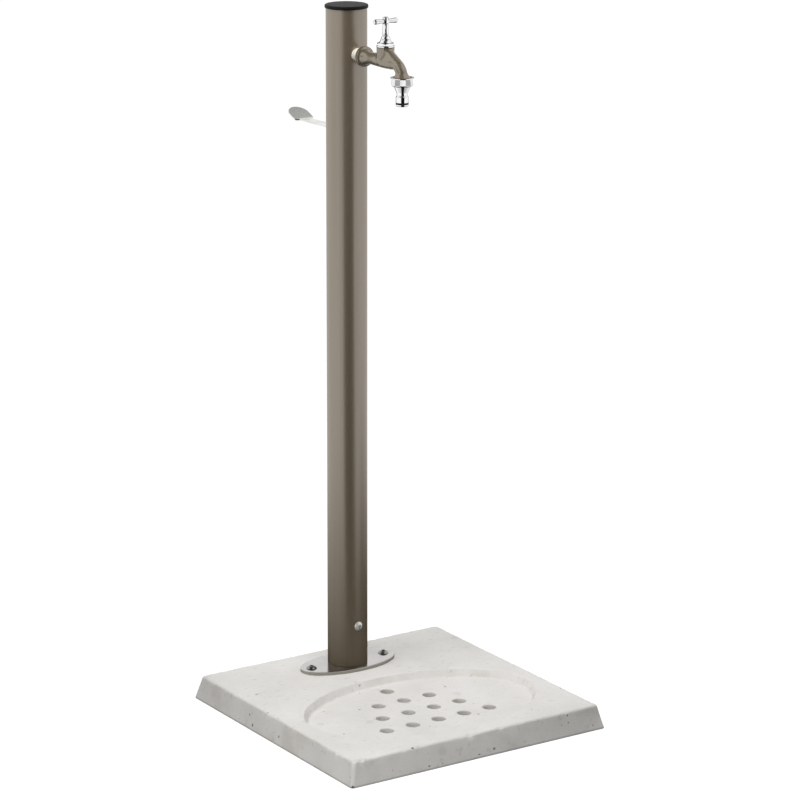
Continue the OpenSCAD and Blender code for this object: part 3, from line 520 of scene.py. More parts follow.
def six_sided(angle):
    """How far a hexagon reaches at an angle, as a multiple of half its width across flats."""
    return 1 / np.cos((angle + np.pi / 6) % (np.pi / 3) - np.pi / 6)


def socket_screw(place, axis, shank_r, length, head_r, head_h, socket_af, sides=96):
    """Rings of a button-head screw, from the tip of its shank over its domed head and down into the
    socket. Rows give radius, height and how far the ring has gone from a circle to a hexagon."""
    dome_r = (head_r ** 2 + head_h ** 2) / (2 * head_h)
    half = socket_af / 2
    dome = np.linspace(head_r - 0.12 * head_h, half * 1.22, 12)
    dome_z = np.sqrt(dome_r ** 2 - dome ** 2) - dome_r + head_h
    tip = shank_r * 0.16
    foot = [(shank_r - tip, -length, 0), (shank_r, tip - length, 0), (shank_r, 0, 0),
            (head_r - 0.08 * head_h, 0, 0), (head_r, 0.1 * head_h, 0)]
    crown = np.stack([dome, dome_z, np.zeros_like(dome)], -1)
    mouth = dome_z[-1]
    floor = head_h - 0.62 * socket_af
    socket = [(half * 1.12, mouth + 0.01 * head_h, 0.7), (half, mouth - 0.1 * head_h, 1),
              (half, floor, 1), (half * 0.2, floor - 0.3 * half, 1)]
    rows = np.concatenate([foot, crown, socket])
    angle = full_turn(sides)
    radius = rows[:, :1] * (1 + rows[:, 2:] * (six_sided(angle) - 1))
    along = rows[:, 1, None, None] * np.array(axis)
    return np.array(place) + radius[..., None] * spokes(axis, angle) + along


plate_screws = skin("plate_screws_socket", [
    socket_screw((*place, plate_hi.z), (0, 0, 1), SCREW_R, PLATE_SCREW_L, PLATE_HEAD_R, PLATE_HEAD_H,
                 SOCKET_AF) for place in INSERT_PLACES])
screw_steel = polished_steel("screw_steel", (158, 156, 152), 0.2, (1, 1, 1), 0.2)
dress(plate_screws, screw_steel, "stand", "screw_steel", "plate_screws")

# Spigot: a turned aluminium tube that the column slips over. Three countersunk screws hold it to the
# plate from below.


def aluminium_finish():
    """Bare turned aluminium with fine rings and dull spots."""
    made, shader, where = blank_finish("turned_aluminium")
    rings = grain(where, 500, 2, (0.1, 0.1, 3))
    wire(shader, {"Base Color": mixed(rings, tone(196, 197, 199), tone(168, 169, 172)),
                        "Roughness": ranged(rings, 0.3, 0.7, 0.28, 0.46), "Metallic": 1})
    bumped(shader, rings, 0.2, 0.0002)
    return made


refinish(aluminium_finish(), "column_spigot")
refinish(screw_steel, "spigot_screws")

# Water fittings: brass coupling with its lock nut in the plate, copper riser, compression joints, and the
# brass elbow that takes the tap's tail. The nylon saddle fits the elbow to the round of the column.


def nylon_finish():
    """Cream moulded nylon, slightly translucent, with a fine eggshell grain."""
    made, shader, where = blank_finish("cream_nylon")
    colour = mixed(grain(where, 120, 3), tone(242, 237, 226), tone(234, 227, 212))
    wire(shader, {"Base Color": colour, "Roughness": 0.38, "Subsurface Weight": 0.15,
                        "Subsurface Radius": (0.004, 0.003, 0.002)})
    bumped(shader, grain(where, 2500, 2), 0.06, 0.0002)
    return made


nylon = nylon_finish()
# Drawn copper darkens in patches.
copper = patchy_finish("drawn_copper", (214, 138, 102), (150, 92, 70), (40, 4, (1, 1, 0.3)), (0.35, 0.7),
                       (0.25, 0.45), {"Metallic": 1})
refinish(brass, "inlet_coupling", "inlet_lock_nut", "compression_nuts", "pipe_elbow")
refinish(copper, "riser_pipe", "compression_olives")
refinish(nylon, "inner_saddle")

# Column: a drawn aluminium tube, powder coated in a metallic taupe. Holes take the clamp screw, the tap's
# tail and the hook's inserts.
column_lo, column_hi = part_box("column_tube")
COLUMN_R = column_hi.x
COLUMN_WALL = 2 * MM
COLUMN_BORE_R = COLUMN_R - COLUMN_WALL
CLAMP_Z = 104 * MM
CLAMP_HOLE_R = 4.35 * MM
INLET_Z = 966.5 * MM
TAIL_HOLE_R = 8.5 * MM
HOOK_SCREW_Z = np.array([836.98, 816.98]) * MM
HOOK_HOLE_R = 3.55 * MM
WALL_DRILL = (20 * MM, 40 * MM)
FRONT = (0, -1, 0)
BACK = (0, 1, 0)
tube_line = eased([(COLUMN_BORE_R, column_hi.z - 0.1), (COLUMN_BORE_R, column_lo.z),
                   (COLUMN_R, column_lo.z), (COLUMN_R, column_hi.z), (COLUMN_BORE_R, column_hi.z),
                   (COLUMN_BORE_R, column_hi.z - 0.09)], [0, 0.3 * MM, 0.5 * MM, 0.5 * MM, 0.3 * MM, 0])
column = skin("column_tube_painted", [turned(tube_line, (0, COLUMN_Y, 0), sides=192)], joined=True)
column_holes = [drill(CLAMP_HOLE_R, *WALL_DRILL, (0, COLUMN_Y, CLAMP_Z), FRONT),
                drill(TAIL_HOLE_R, *WALL_DRILL, (0, COLUMN_Y, INLET_Z), FRONT)]
column_holes += [drill(HOOK_HOLE_R, *WALL_DRILL, (0, COLUMN_Y, z), BACK) for z in HOOK_SCREW_Z]
cut_away(column, skin("column_holes", column_holes))


def taupe_paint(name, light, dark, metallic, roughness, streak):
    """Metallic taupe coating: flakes that sparkle softly, a faint orange peel, and streaks along the
    work."""
    made, shader, where = blank_finish(name)
    streaks = ranged(grain(where, 260, 2, streak), 0.3, 0.7, 0, 1)
    flakes = ranged(grain(where, 3800, 1), 0.35, 0.65, 0, 1)
    colour = mixed(streaks, tone(*light), tone(*dark))
    colour = mixed(times(flakes, 0.14), colour, tone(160, 147, 126))
    shine = math_of("ADD", ranged(streaks, 0, 1, roughness, roughness + 0.05),
                    times(flakes, 0.05))
    wire(shader, {"Base Color": colour, "Roughness": shine, "Metallic": metallic, "IOR": 2.7,
                        "Specular Tint": (1, 0.98, 0.96, 1)})
    peel = math_of("ADD", grain(where, 700, 2), times(flakes, 0.3))
    bumped(shader, peel, 0.05, 0.0002)
    return made


column_paint = taupe_paint("column_paint", (128, 114, 93), (122, 108, 88), 0.3, 0.27, (1, 1, 0.01))
dress(column, column_paint, "stand", "column_paint", "column_tube")

# Clamp screw: a stainless button-head screw low on the front. It goes through the tube into the spigot
# and pins the two together.
CLAMP_HEAD_R = 7 * MM
CLAMP_HEAD_H = 4.4 * MM
CLAMP_SCREW_L = 10.2 * MM
SEAT_GAP = 0.05 * MM
clamp_screw = skin("clamp_screw_socket", [
    socket_screw((0, COLUMN_Y - COLUMN_R - SEAT_GAP, CLAMP_Z), FRONT, SCREW_R, CLAMP_SCREW_L,
                 CLAMP_HEAD_R, CLAMP_HEAD_H, SOCKET_AF)])
clamp_steel = polished_steel("clamp_screw_steel", (220, 218, 211), 0.28, (1, 1, 1), 0.28, 0.45)
dress(clamp_screw, clamp_steel, "stand", "screw_steel", "clamp_screw")

# Cap: a black plug moulded in polyethylene, with a thin skirt that is pushed into the top of the tube.
# Its top is crowned very slightly, and its mould leaves a fine grain with a few pale scuffs.
cap_lo, cap_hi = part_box("column_cap")
CAP_R = cap_hi.x
CAP_CROWN = 0.3 * MM
CAP_SKIRT_R = COLUMN_BORE_R - SEAT_GAP
CAP_SKIRT_BORE_R = CAP_SKIRT_R - 2 * MM
CAP_ROOF = column_hi.z - 0.4 * MM
CAP_SEAT = column_hi.z + 0.02 * MM
cap_line = eased([(0.3 * MM, CAP_ROOF), (CAP_SKIRT_BORE_R, CAP_ROOF), (CAP_SKIRT_BORE_R, cap_lo.z),
                  (CAP_SKIRT_R, cap_lo.z), (CAP_SKIRT_R, CAP_SEAT), (CAP_R, CAP_SEAT),
                  (CAP_R, cap_hi.z - CAP_CROWN), (CAP_R * 0.5, cap_hi.z), (0.3 * MM, cap_hi.z)],
                 np.array([0, 0.5, 0.4, 0.4, 0.1, 0.5, 2, 6, 0]) * MM)
cap = skin("column_cap_moulded", [turned(cap_line, (0, COLUMN_Y, 0), sides=160)])
black_plastic = patchy_finish("black_plastic", (24, 23, 23), (44, 43, 42), (90, 5), (0.6, 0.8),
                              (0.55, 0.7), {"Specular IOR Level": 0.15}, most=0.5,
                              bump=((1600, 3), 0.25, 0.0002))
dress(cap, black_plastic, "stand", "cap_plastic", "column_cap")

# Hose hook: one strip of stainless sheet, blanked, bent twice and rolled at its foot to the round of the
# column. Two screws hold the foot.
HOOK_T = 2.5 * MM
ARM_HALF = 10 * MM
TONGUE_HALF = 16.5 * MM
TONGUE_L = 33.5 * MM
TONGUE_RISE = math.radians(22.5)
HOOK_FOOT_R = COLUMN_R + SEAT_GAP + HOOK_T / 2
HOOK_BEND_S = 115.5 * MM
HOOK_BEND_Z = 850 * MM + HOOK_T / 2
FOOT_TOP = 850.98 * MM + HOOK_T / 2
FOOT_BOTTOM = 804.98 * MM
FOOT_CORNER_R = 4 * MM
STRIP_EDGE_R = 0.9 * MM
HOOK_DRILL_R = 2.85 * MM


def resampled(line, spacing):
    """A polyline walked in even steps: its points, its unit headings and the distance walked."""
    walked = np.r_[0, np.cumsum(np.linalg.norm(np.diff(line, axis=0), axis=1))]
    at = np.linspace(0, walked[-1], int(walked[-1] / spacing) + 1)
    points = np.stack([np.interp(at, walked, column) for column in line.T], -1)
    heading = np.gradient(points, axis=0)
    return points, heading / np.linalg.norm(heading, axis=1, keepdims=True), at


def quarter_round(share):
    """Height of a quarter circle at a share of its radius from the side where it starts at zero."""
    return np.sqrt(np.maximum(1 - (1 - share) ** 2, 0))


def hook_rings():
    """Rings of the bent strip. Its middle line runs up the foot, out along the arm and up the tongue.
    Each ring goes round the strip's section, as wide as the strip is there, with rounded edges, bowed to
    the column on the foot."""
    tip = (HOOK_BEND_S + TONGUE_L * math.cos(TONGUE_RISE), HOOK_BEND_Z + TONGUE_L * math.sin(TONGUE_RISE))
    bends = eased([(HOOK_FOOT_R, FOOT_BOTTOM), (HOOK_FOOT_R, FOOT_TOP), (HOOK_BEND_S, HOOK_BEND_Z), tip],
                  [0, 5 * MM, 4 * MM, 0], steps=14)
    line, heading, at = resampled(bends, 0.6 * MM)
    left = at[-1] - at
    shoulder = np.clip((TONGUE_L + 1.5 * MM - left) / (3 * MM), 0, 1)
    half = ARM_HALF + (TONGUE_HALF - ARM_HALF) * shoulder ** 2 * (3 - 2 * shoulder)
    half = np.where(left < TONGUE_HALF, TONGUE_HALF * quarter_round(left / TONGUE_HALF), half)
    half = half - FOOT_CORNER_R * (1 - quarter_round(np.clip(at / FOOT_CORNER_R, 0, 1)))
    edge = np.minimum(STRIP_EDGE_R, half * 0.9 + 1e-5)
    turn = np.linspace(-np.pi / 2, np.pi / 2, 9)
    span = np.linspace(-1, 1, 17)
    flat, out, up = np.ones_like(span), np.cos(turn), np.sin(turn)
    across = np.concatenate([span, np.ones(9), -span, -np.ones(9)])
    bulge = np.concatenate([0 * flat, out, 0 * flat, -out])
    rise = np.concatenate([-flat, up, flat, -up]) * HOOK_T / 2
    x = across * (half - edge)[:, None] + bulge * edge[:, None]
    s = line[:, :1] - heading[:, 1:] * rise
    z = line[:, 1:] + heading[:, :1] * rise
    bow = np.clip((FOOT_TOP - 1 * MM - line[:, 1:]) / (4 * MM), 0, 1)
    bow = bow * (line[:, :1] < HOOK_FOOT_R + 4 * MM)
    s = s + bow * (np.sqrt(np.maximum(s ** 2 - x ** 2, 0)) - s)
    return np.stack([x, COLUMN_Y + s, z], -1)


hook = skin("hose_hook_bent", [hook_rings()], soft_angle=50)
hook_holes = [drill(HOOK_DRILL_R, 25 * MM, 40 * MM, (0, COLUMN_Y, z), BACK) for z in HOOK_SCREW_Z]
cut_away(hook, skin("hook_holes", hook_holes), soft_angle=50)
hook_steel = polished_steel("hook_steel", (232, 232, 228), 0.18, (6, 1, 1), 0.18)
dress(hook, hook_steel, "stand", "polished_steel", "hose_hook")

# Hook screws: two small stainless button-head screws. They go through the hook's foot into threaded
# inserts that are set in the tube's wall.
HOOK_SCREW_R = 2.5 * MM
HOOK_SCREW_L = 14.5 * MM
HOOK_HEAD_R = 5 * MM
HOOK_HEAD_H = 2.75 * MM
HOOK_SOCKET_AF = 3 * MM
HOOK_FACE_Y = COLUMN_Y + COLUMN_R + SEAT_GAP + HOOK_T + SEAT_GAP
hook_screws = skin("hook_screws_socket", [
    socket_screw((0, HOOK_FACE_Y, z), BACK, HOOK_SCREW_R, HOOK_SCREW_L, HOOK_HEAD_R, HOOK_HEAD_H,
                 HOOK_SOCKET_AF) for z in HOOK_SCREW_Z])
dress(hook_screws, screw_steel, "stand", "screw_steel", "hook_screws")
refinish(screw_steel, "hook_inserts")

# Spacer: a cream nylon sleeve, moulded, that the tap's tail passes through. One end is cut to the round
# of the column, and the tap's collar presses on the other.
SPACER_R = 10 * MM
COLLAR_BACK = 46.2 * MM


def spacer_rings(sides=96):
    """Rings of the sleeve, out along its outside and back along its bore. The end at the column follows
    the tube: a point at sideways distance x lies where the tube's circle has that x."""
    angle = full_turn(sides)
    share = np.array([0, 0.03, 0.3, 0.7, 0.96, 1, 1, 0.9, 0.3, 0])[:, None]
    inset = np.array([0.35, 0, 0, 0, 0, 0.4, 0, 0, 0, 0])[:, None] * MM
    radius = np.array([SPACER_R] * 6 + [TAIL_HOLE_R] * 4)[:, None] - inset
    x = radius * np.sin(angle)
    saddle = np.sqrt((COLUMN_R + SEAT_GAP) ** 2 - x ** 2)
    s = saddle + (COLLAR_BACK - saddle) * share
    return np.stack([x, COLUMN_Y - s, INLET_Z + radius * np.cos(angle)], -1)


spacer = skin("saddle_spacer_sleeve", [spacer_rings()], joined=True)
dress(spacer, nylon, "stand", "nylon", "saddle_spacer")

# Tap body: cast brass, taupe like the column. Collar and tail are turned, and the inlet, the valve
# housing with its round belly and the bent spout run into each other with cast fillets. Its sizes are in
# millimetres, along the tap (s) and up from its axis (z).
COLLAR_FRONT = 51.0
NECK_S = (51.0, 52.5, 54.5, 57.5, 61.5, 68.0, 80.0, 92.0, 110.0, 122.0, 126.0, 128.5, 130.0)
NECK_R = (13.0, 11.6, 10.4, 9.4, 8.8, 8.6, 8.7, 8.7, 8.5, 8.2, 7.6, 6.4, 4.6)
SPOUT_R = 8.3
VALVE_S = 103.0
HOUSING_R = 12.7
HOUSING_TOP = 21.0
HOUSING_BALL_Z = 5.0
HOUSING_BALL_H = 12.4
BELLY_S = 103.0
BELLY_Z = 1.6
BELLY_HALVES = (36.0, 11.7, 8.6)
SPOUT_S = 146.0
SPOUT_START_Z = 15.6
BEND_R = 20.0
BEND_S = 125.5
BEND_Z = -18.8
BEND_TURN = math.radians(62)
FLARE_Z = -16.6
FLARE_R = 11.25
FLARE_TOP_S = 144.0
FLARE_TOP_Z = -10.5
CHAMBER_R = 10.5
CHAMBER_FLOOR = 3.5
WATERWAY_R = 4.75
BELLY_FILLET = 6.0
SPOUT_FILLET_S = (114.0, 132.0)
SPOUT_FILLET = (5.0, 1.8)
HOUSING_FILLET = 2.8
FLARE_FILLET = 0.8
CAST_BOX = ((47.0, -17.0, -19.0), (160.0, 17.0, 24.0))
CAST_STEP = 0.5
TAIL_R = 8.3


def merged(first, second, fillet):
    """Smooth union of two distances: within the fillet's reach the two are blended by a parabola."""
    share = np.clip(0.5 + 0.5 * (second - first) / fillet, 0, 1)
    return second + (first - second) * share - fillet * share * (1 - share)


def tap_field(s, x, z):
    """Signed distance, in millimetres, to the cast body: a bell and neck about the tap's axis, an egg for
    the belly, a round housing about the valve's axis, a spout along a straight run and an arc, and a
    slanting flare at its end. They are merged with fillets, which shrink towards the spout's end, and the
    bores are taken out."""
    across = np.hypot(x, z)
    neck = across - np.interp(s, NECK_S, NECK_R)
    neck = np.maximum(neck, np.maximum(s - NECK_S[-1], COLLAR_FRONT - 2 - s))
    egg = list(zip((s - BELLY_S, x, z - BELLY_Z), BELLY_HALVES))
    once = np.sqrt(sum((a / h) ** 2 for a, h in egg))
    twice = np.sqrt(sum((a / h ** 2) ** 2 for a, h in egg))
    belly = once * (once - 1) / np.maximum(twice, 1e-6)
    from_valve = np.hypot(s - VALVE_S, x)
    below = np.minimum(z - HOUSING_BALL_Z, 0) * HOUSING_R / HOUSING_BALL_H
    housing = np.maximum(np.hypot(from_valve, below) - HOUSING_R, z - HOUSING_TOP)
    run_end = np.array([BEND_S + BEND_R * math.cos(BEND_TURN), BEND_Z + BEND_R * math.sin(BEND_TURN)])
    run = run_end - [VALVE_S, SPOUT_START_Z]
    t = np.clip(((s - VALVE_S) * run[0] + (z - SPOUT_START_Z) * run[1]) / (run @ run), 0, 1)
    to_run = np.hypot(np.hypot(s - VALVE_S - t * run[0], z - SPOUT_START_Z - t * run[1]), x)
    turn = np.clip(np.arctan2(z - BEND_Z, s - BEND_S), 0, BEND_TURN)
    to_arc = np.hypot(np.hypot(s - BEND_S - BEND_R * np.cos(turn), z - BEND_Z - BEND_R * np.sin(turn)), x)
    to_spout = np.minimum(to_run, to_arc)
    flare_s = np.interp(z, [FLARE_Z, FLARE_TOP_Z], [SPOUT_S, FLARE_TOP_S])
    flare_r = np.interp(z, [FLARE_Z, FLARE_TOP_Z], [FLARE_R, SPOUT_R])
    flare = np.maximum(np.hypot(s - flare_s, x) - flare_r, z - FLARE_TOP_Z)
    body = merged(neck, belly, BELLY_FILLET)
    body = merged(body, to_spout - SPOUT_R, np.interp(s, SPOUT_FILLET_S, SPOUT_FILLET))
    body = merged(body, housing, HOUSING_FILLET)
    body = np.maximum(merged(body, flare, FLARE_FILLET), np.maximum(z - HOUSING_TOP, FLARE_Z - z))
    chamber = np.maximum(from_valve - CHAMBER_R, CHAMBER_FLOOR - z)
    waterway = np.where(s > VALVE_S, to_spout, 99) - WATERWAY_R
    inlet_bore = np.maximum(across - WATERWAY_R, s - VALVE_S)
    return np.maximum(body, -np.minimum(np.minimum(chamber, waterway), inlet_bore))


def skin_of_field(field, box, step):
    """Points and quads of the surface where a field is zero. A point stands in each grid cell that the
    surface crosses, at the mean of the crossings on the cell's edges, and is then slid along the field's
    slope to zero. A quad joins the four cells round each grid edge that changes sign."""
    axes = [np.arange(low, high, step) for low, high in zip(*box)]
    grid = np.stack(np.meshgrid(*axes, indexing="ij"), -1)
    value = field(grid[..., 0], grid[..., 1], grid[..., 2])
    total, hits = np.zeros_like(grid), np.zeros_like(value)
    number = np.arange(value.size).reshape(value.shape)
    quads = []
    for axis in range(3):
        ahead = np.roll(value, -1, axis)
        crossed = (value < 0) != (ahead < 0)
        crossed[tuple(slice(None) if k != axis else slice(-1, None) for k in range(3))] = False
        where = np.argwhere(crossed)
        start, end = value[crossed], ahead[crossed]
        point = grid[crossed]
        point[:, axis] += step * start / (start - end)
        u, v = np.eye(3, dtype=int)[[(axis + 1) % 3, (axis + 2) % 3]]
        ring = [tuple((where - a * u - b * v).T) for a, b in ((0, 0), (1, 0), (1, 1), (0, 1))]
        for cell in ring:
            np.add.at(total, cell, point)
            np.add.at(hits, cell, 1)
        quad = np.stack([number[cell] for cell in ring], -1)
        quads.append(np.where((start < 0)[:, None], quad, quad[:, ::-1]))
    used = hits > 0
    points = total[used] / hits[used][:, None]
    nudge = step * 0.2
    for _ in range(3):
        here = field(*points.T)
        slope = np.stack([field(*(points + nudge * way).T) - here for way in np.eye(3)], -1) / nudge
        size = np.maximum((slope ** 2).sum(1), 0.2)
        points = points - np.clip(here / size, -step / 2, step / 2)[:, None] * slope
    order = np.cumsum(used.ravel()) - 1
    return points, order[np.vstack(quads)].tolist()


cast_points, cast_quads = skin_of_field(tap_field, CAST_BOX, CAST_STEP)
cast_points = cast_points[:, [1, 0, 2]] * [MM, -MM, MM] + [0, COLUMN_Y, INLET_Z]
tap = mesh_piece("tap_body_cast", cast_points, cast_quads, soft_angle=45)
collar_line = eased([(WATERWAY_R, 9), (TAIL_R, 9), (TAIL_R, 46.2), (14.9, 46.2), (14.9, 47.7),
                     (13.2, 47.8), (13.2, 48.9), (14.6, 49), (14.6, 50.8), (12.8, 51.6), (11.8, 52.5),
                     (WATERWAY_R, 52.5)], [0, 0.5, 0.2, 0.4, 0.4, 0.2, 0.2, 0.5, 0.8, 0.4, 0.4, 0])
collar = skin("collar", [turned(collar_line * MM, (0, COLUMN_Y, INLET_Z), FRONT, sides=144)], joined=True)
cut_away(tap, collar, soft_angle=40, operation="UNION")
tap_paint = taupe_paint("tap_paint", (127, 116, 97), (120, 109, 91), 0.45, 0.19, (1, 1, 1))
dress(tap, tap_paint, "stand", "tap_paint", "tap_body")

# Spout thread: the bare brass end of the tap body, cut with a parallel pipe thread that the hose adapter
# screws on.
THREAD_R = 13.1 * MM
THREAD_DEPTH = 0.9 * MM
THREAD_PITCH = 1.814 * MM
THREAD_START = FLARE_Z * MM
THREAD_END = -24.8 * MM
THREAD_FADE = 0.8 * MM


def thread_rings(sides=96, rings=63):
    """Rings of a threaded bush, down its outside and up its bore. The outside's radius is a crest less a
    rounded ridge wave of the height and the angle together, which makes a helix. The wave fades at both
    ends."""
    angle = full_turn(sides)
    drop = np.linspace(THREAD_START, THREAD_END, rings)[:, None]
    wave = 0.5 - 0.5 * np.cos(2 * np.pi * drop / THREAD_PITCH - angle)
    fade = np.clip(np.minimum(drop - THREAD_END, THREAD_START - drop) / THREAD_FADE, 0, 1)
    radius = THREAD_R - THREAD_DEPTH * (1 - wave * fade)
    radius = np.minimum(radius, FLARE_R * MM + 1.2 * (THREAD_START - drop))
    radius = np.concatenate([radius, np.full((2, sides), (WATERWAY_R - 0.05) * MM)])
    height = np.concatenate([drop, [[THREAD_END], [THREAD_START]]])
    around = [radius * np.sin(angle), radius * np.cos(angle), np.broadcast_to(height, radius.shape)]
    return np.stack(around, -1) + [0, COLUMN_Y - SPOUT_S * MM, INLET_Z]


spout_thread = skin("spout_thread", [thread_rings()], joined=True)
dress(spout_thread, brass, "stand", "brass", "tap_body")

# Valve: a brass jumper with a rubber washer and its nut, below the brass spindle with two O-rings. All of
# it is inside the body and the bonnet. Moulded rubber is black with a dry bloom.
rubber = patchy_finish("black_rubber", (24, 24, 25), (44, 43, 43), (300, 4), (0.4, 0.75),
                       (0.45, 0.65), {})
refinish(brass, "jumper_valve", "washer_nut", "spindle")
refinish(rubber, "valve_washer", "spindle_o_rings")

# Bonnet: turned and chromed brass, with a washer-faced hexagon, a cone and a long neck for the spindle. A
# thin rubber gasket seals it on the housing. Heights are in millimetres above the tap's axis.
VALVE_Y = COLUMN_Y - VALVE_S * MM
BONNET_HALF_AF = 11.9
BONNET_TURN = math.radians(236.2)
BONNET_TOP = 54.0
HEXAGON_Z = (23.75, 27.4)


def upright_rings(radius, height, angle, y):
    """Rings about an upright axis, from radii, and heights above the tap's axis, in millimetres."""
    z = np.broadcast_to(INLET_Z + height * MM, radius.shape)
    return np.stack([radius * MM * np.cos(angle), y + radius * MM * np.sin(angle), z], -1)


def bonnet_rings(sides=192):
    """Rings of the bonnet about the valve's axis, up its outside and down its stepped bore. Rows give
    radius, height and how far the ring is a hexagon. A chamfer cone trims the hexagon's corners at both
    ends."""
    outside = eased([(10.4, 14.5, 0), (10.4, 21.4, 0), (12.9, 21.4, 0), (12.9, 23.4, 0), (11.9, 23.7, 0)],
                    [0, 0.2, 0.5, 0.5, 0])
    z = np.linspace(*HEXAGON_Z, 26)
    hexagon = np.stack([np.full_like(z, BONNET_HALF_AF), z, np.ones_like(z)], -1)
    above = eased([(9.6, 27.45, 0), (9.0, 27.9, 0), (7.3, 31.0, 0), (6.9, 33.1, 0), (5.1, 36.2, 0),
                   (4.6, 41.0, 0), (4.25, BONNET_TOP, 0), (3.1, BONNET_TOP, 0)],
                  [0, 0.5, 1.2, 1.2, 1.8, 2.0, 0.5, 0], steps=10)
    bore = np.array([(3.08, 32.6, 0), (6.08, 32.4, 0), (6.08, 18.8, 0), (8.1, 18.6, 0), (8.1, 14.5, 0)])
    radius, height, share = np.concatenate([outside, hexagon, above, bore]).T[..., None]
    angle = full_turn(sides)
    faceted = radius * (1 + share * (six_sided(angle - BONNET_TURN + np.pi / 6) - 1))
    trim = np.minimum(12.0 + 2.2 * (height - 23.6), 10.9 + 1.75 * (27.6 - height))
    faceted = np.where(share > 0, np.minimum(faceted, trim), faceted)
    return upright_rings(faceted, height, angle, VALVE_Y)


# Bright chrome plate has a faint waviness and dull water marks.
chrome = patchy_finish("bright_chrome", (243, 243, 244), (226, 226, 228), (220, 5), (0.55, 0.75),
                       (0.05, 0.16), {"Metallic": 1, "Specular Tint": (0.4, 0.4, 0.41, 1)},
                       bump=((120, 2), 0.05, 0.0005))
bonnet = skin("bonnet_chromed", [bonnet_rings()], joined=True, soft_angle=28)
dress(bonnet, chrome, "stand", "chrome", "bonnet")
gasket_line = eased([(10.6, 21.02), (12.2, 21.02), (12.2, 21.38), (10.6, 21.38), (10.6, 21.05)],
                    [0, 0.1, 0.1, 0.05, 0])
gasket = skin("bonnet_gasket_ring", [turned(gasket_line * MM, (0, VALVE_Y, INLET_Z))], joined=True)
dress(gasket, rubber, "stand", "seal_rubber", "bonnet_gasket")

# T-handle: a cast and chromed bar on a small hub, driven by the spindle's square and held by a socket
# screw from the top. Heights are in millimetres above the tap's axis.
HANDLE_BOTTOM = 54.3
HANDLE_TOP = 63.5
HUB_R = 4.4
HUB_EASE = 0.9
BAR_Z = 57.7
BAR_HALF = 20.5
BAR_ROOT_R = 2.7
BAR_END_R = 3.9
BAR_FILLET = 1.6
SQUARE_HALF = 2.08
SQUARE_ROOF = HANDLE_TOP - 4
SEAT_R = 3.2
SEAT_Z = HANDLE_TOP - 2.5
PILOT_R = 1.45
HANDLE_SCREW = np.array([1.25, 7, 3, 2, 2.5]) * MM
HANDLE_BOX = ((-22.0, -6.0, 52.6), (22.0, 6.0, 65.0))
HANDLE_STEP = 0.3


def handle_field(x, y, z):
    """Signed distance, in millimetres, to the handle about the valve's axis: a round hub and two arms
    that thicken towards their rounded ends, merged with fillets, less the square hole and the screw's
    seat."""
    from_axis = np.hypot(x, y)
    outside = from_axis - HUB_R + HUB_EASE
    slab = np.abs(z - (HANDLE_BOTTOM + HANDLE_TOP) / 2) - (HANDLE_TOP - HANDLE_BOTTOM) / 2 + HUB_EASE
    hub = np.hypot(np.maximum(outside, 0), np.maximum(slab, 0)) - HUB_EASE
    hub = hub + np.minimum(np.maximum(outside, slab), 0)
    reach = np.clip(np.abs(x), 0, BAR_HALF - BAR_END_R)
    arm_r = BAR_ROOT_R + (BAR_END_R - BAR_ROOT_R) * (reach / (BAR_HALF - BAR_END_R)) ** 1.4
    arm = np.sqrt((np.abs(x) - reach) ** 2 + y ** 2 + (z - BAR_Z) ** 2) - arm_r
    body = merged(hub, arm, BAR_FILLET)
    square = np.maximum(np.maximum(np.abs(x), np.abs(y)) - SQUARE_HALF, z - SQUARE_ROOF)
    seat = np.maximum(from_axis - SEAT_R, SEAT_Z - z)
    return np.maximum(body, -np.minimum(np.minimum(square, seat), from_axis - PILOT_R))


handle_points, handle_quads = skin_of_field(handle_field, HANDLE_BOX, HANDLE_STEP)
handle_points = handle_points * MM + [0, VALVE_Y, INLET_Z]
handle = mesh_piece("handle_chromed", handle_points, handle_quads, soft_angle=50)
dress(handle, chrome, "tap_handle", "chrome", "handle")
handle_screw = skin("handle_screw_socket", [
    socket_screw((0, VALVE_Y, INLET_Z + SEAT_Z * MM), (0, 0, 1), *HANDLE_SCREW, sides=72)])
dress(handle_screw, chrome, "tap_handle", "chrome", "handle_screw")

# Hose adapter: turned and chromed brass, a twelve-sided ring nut with a thin lip and a push-fit nipple
# below it. A rubber washer seals it on the spout, and an O-ring sits in the groove near its tip.
SPOUT_Y = COLUMN_Y - SPOUT_S * MM
NUT_SIDES = 12
NUT_TURN = math.radians(240)
O_RING_Z = INLET_Z - 53.05 * MM
O_RING_R = 8.2 * MM
O_RING_SECTION_R = 1.15 * MM


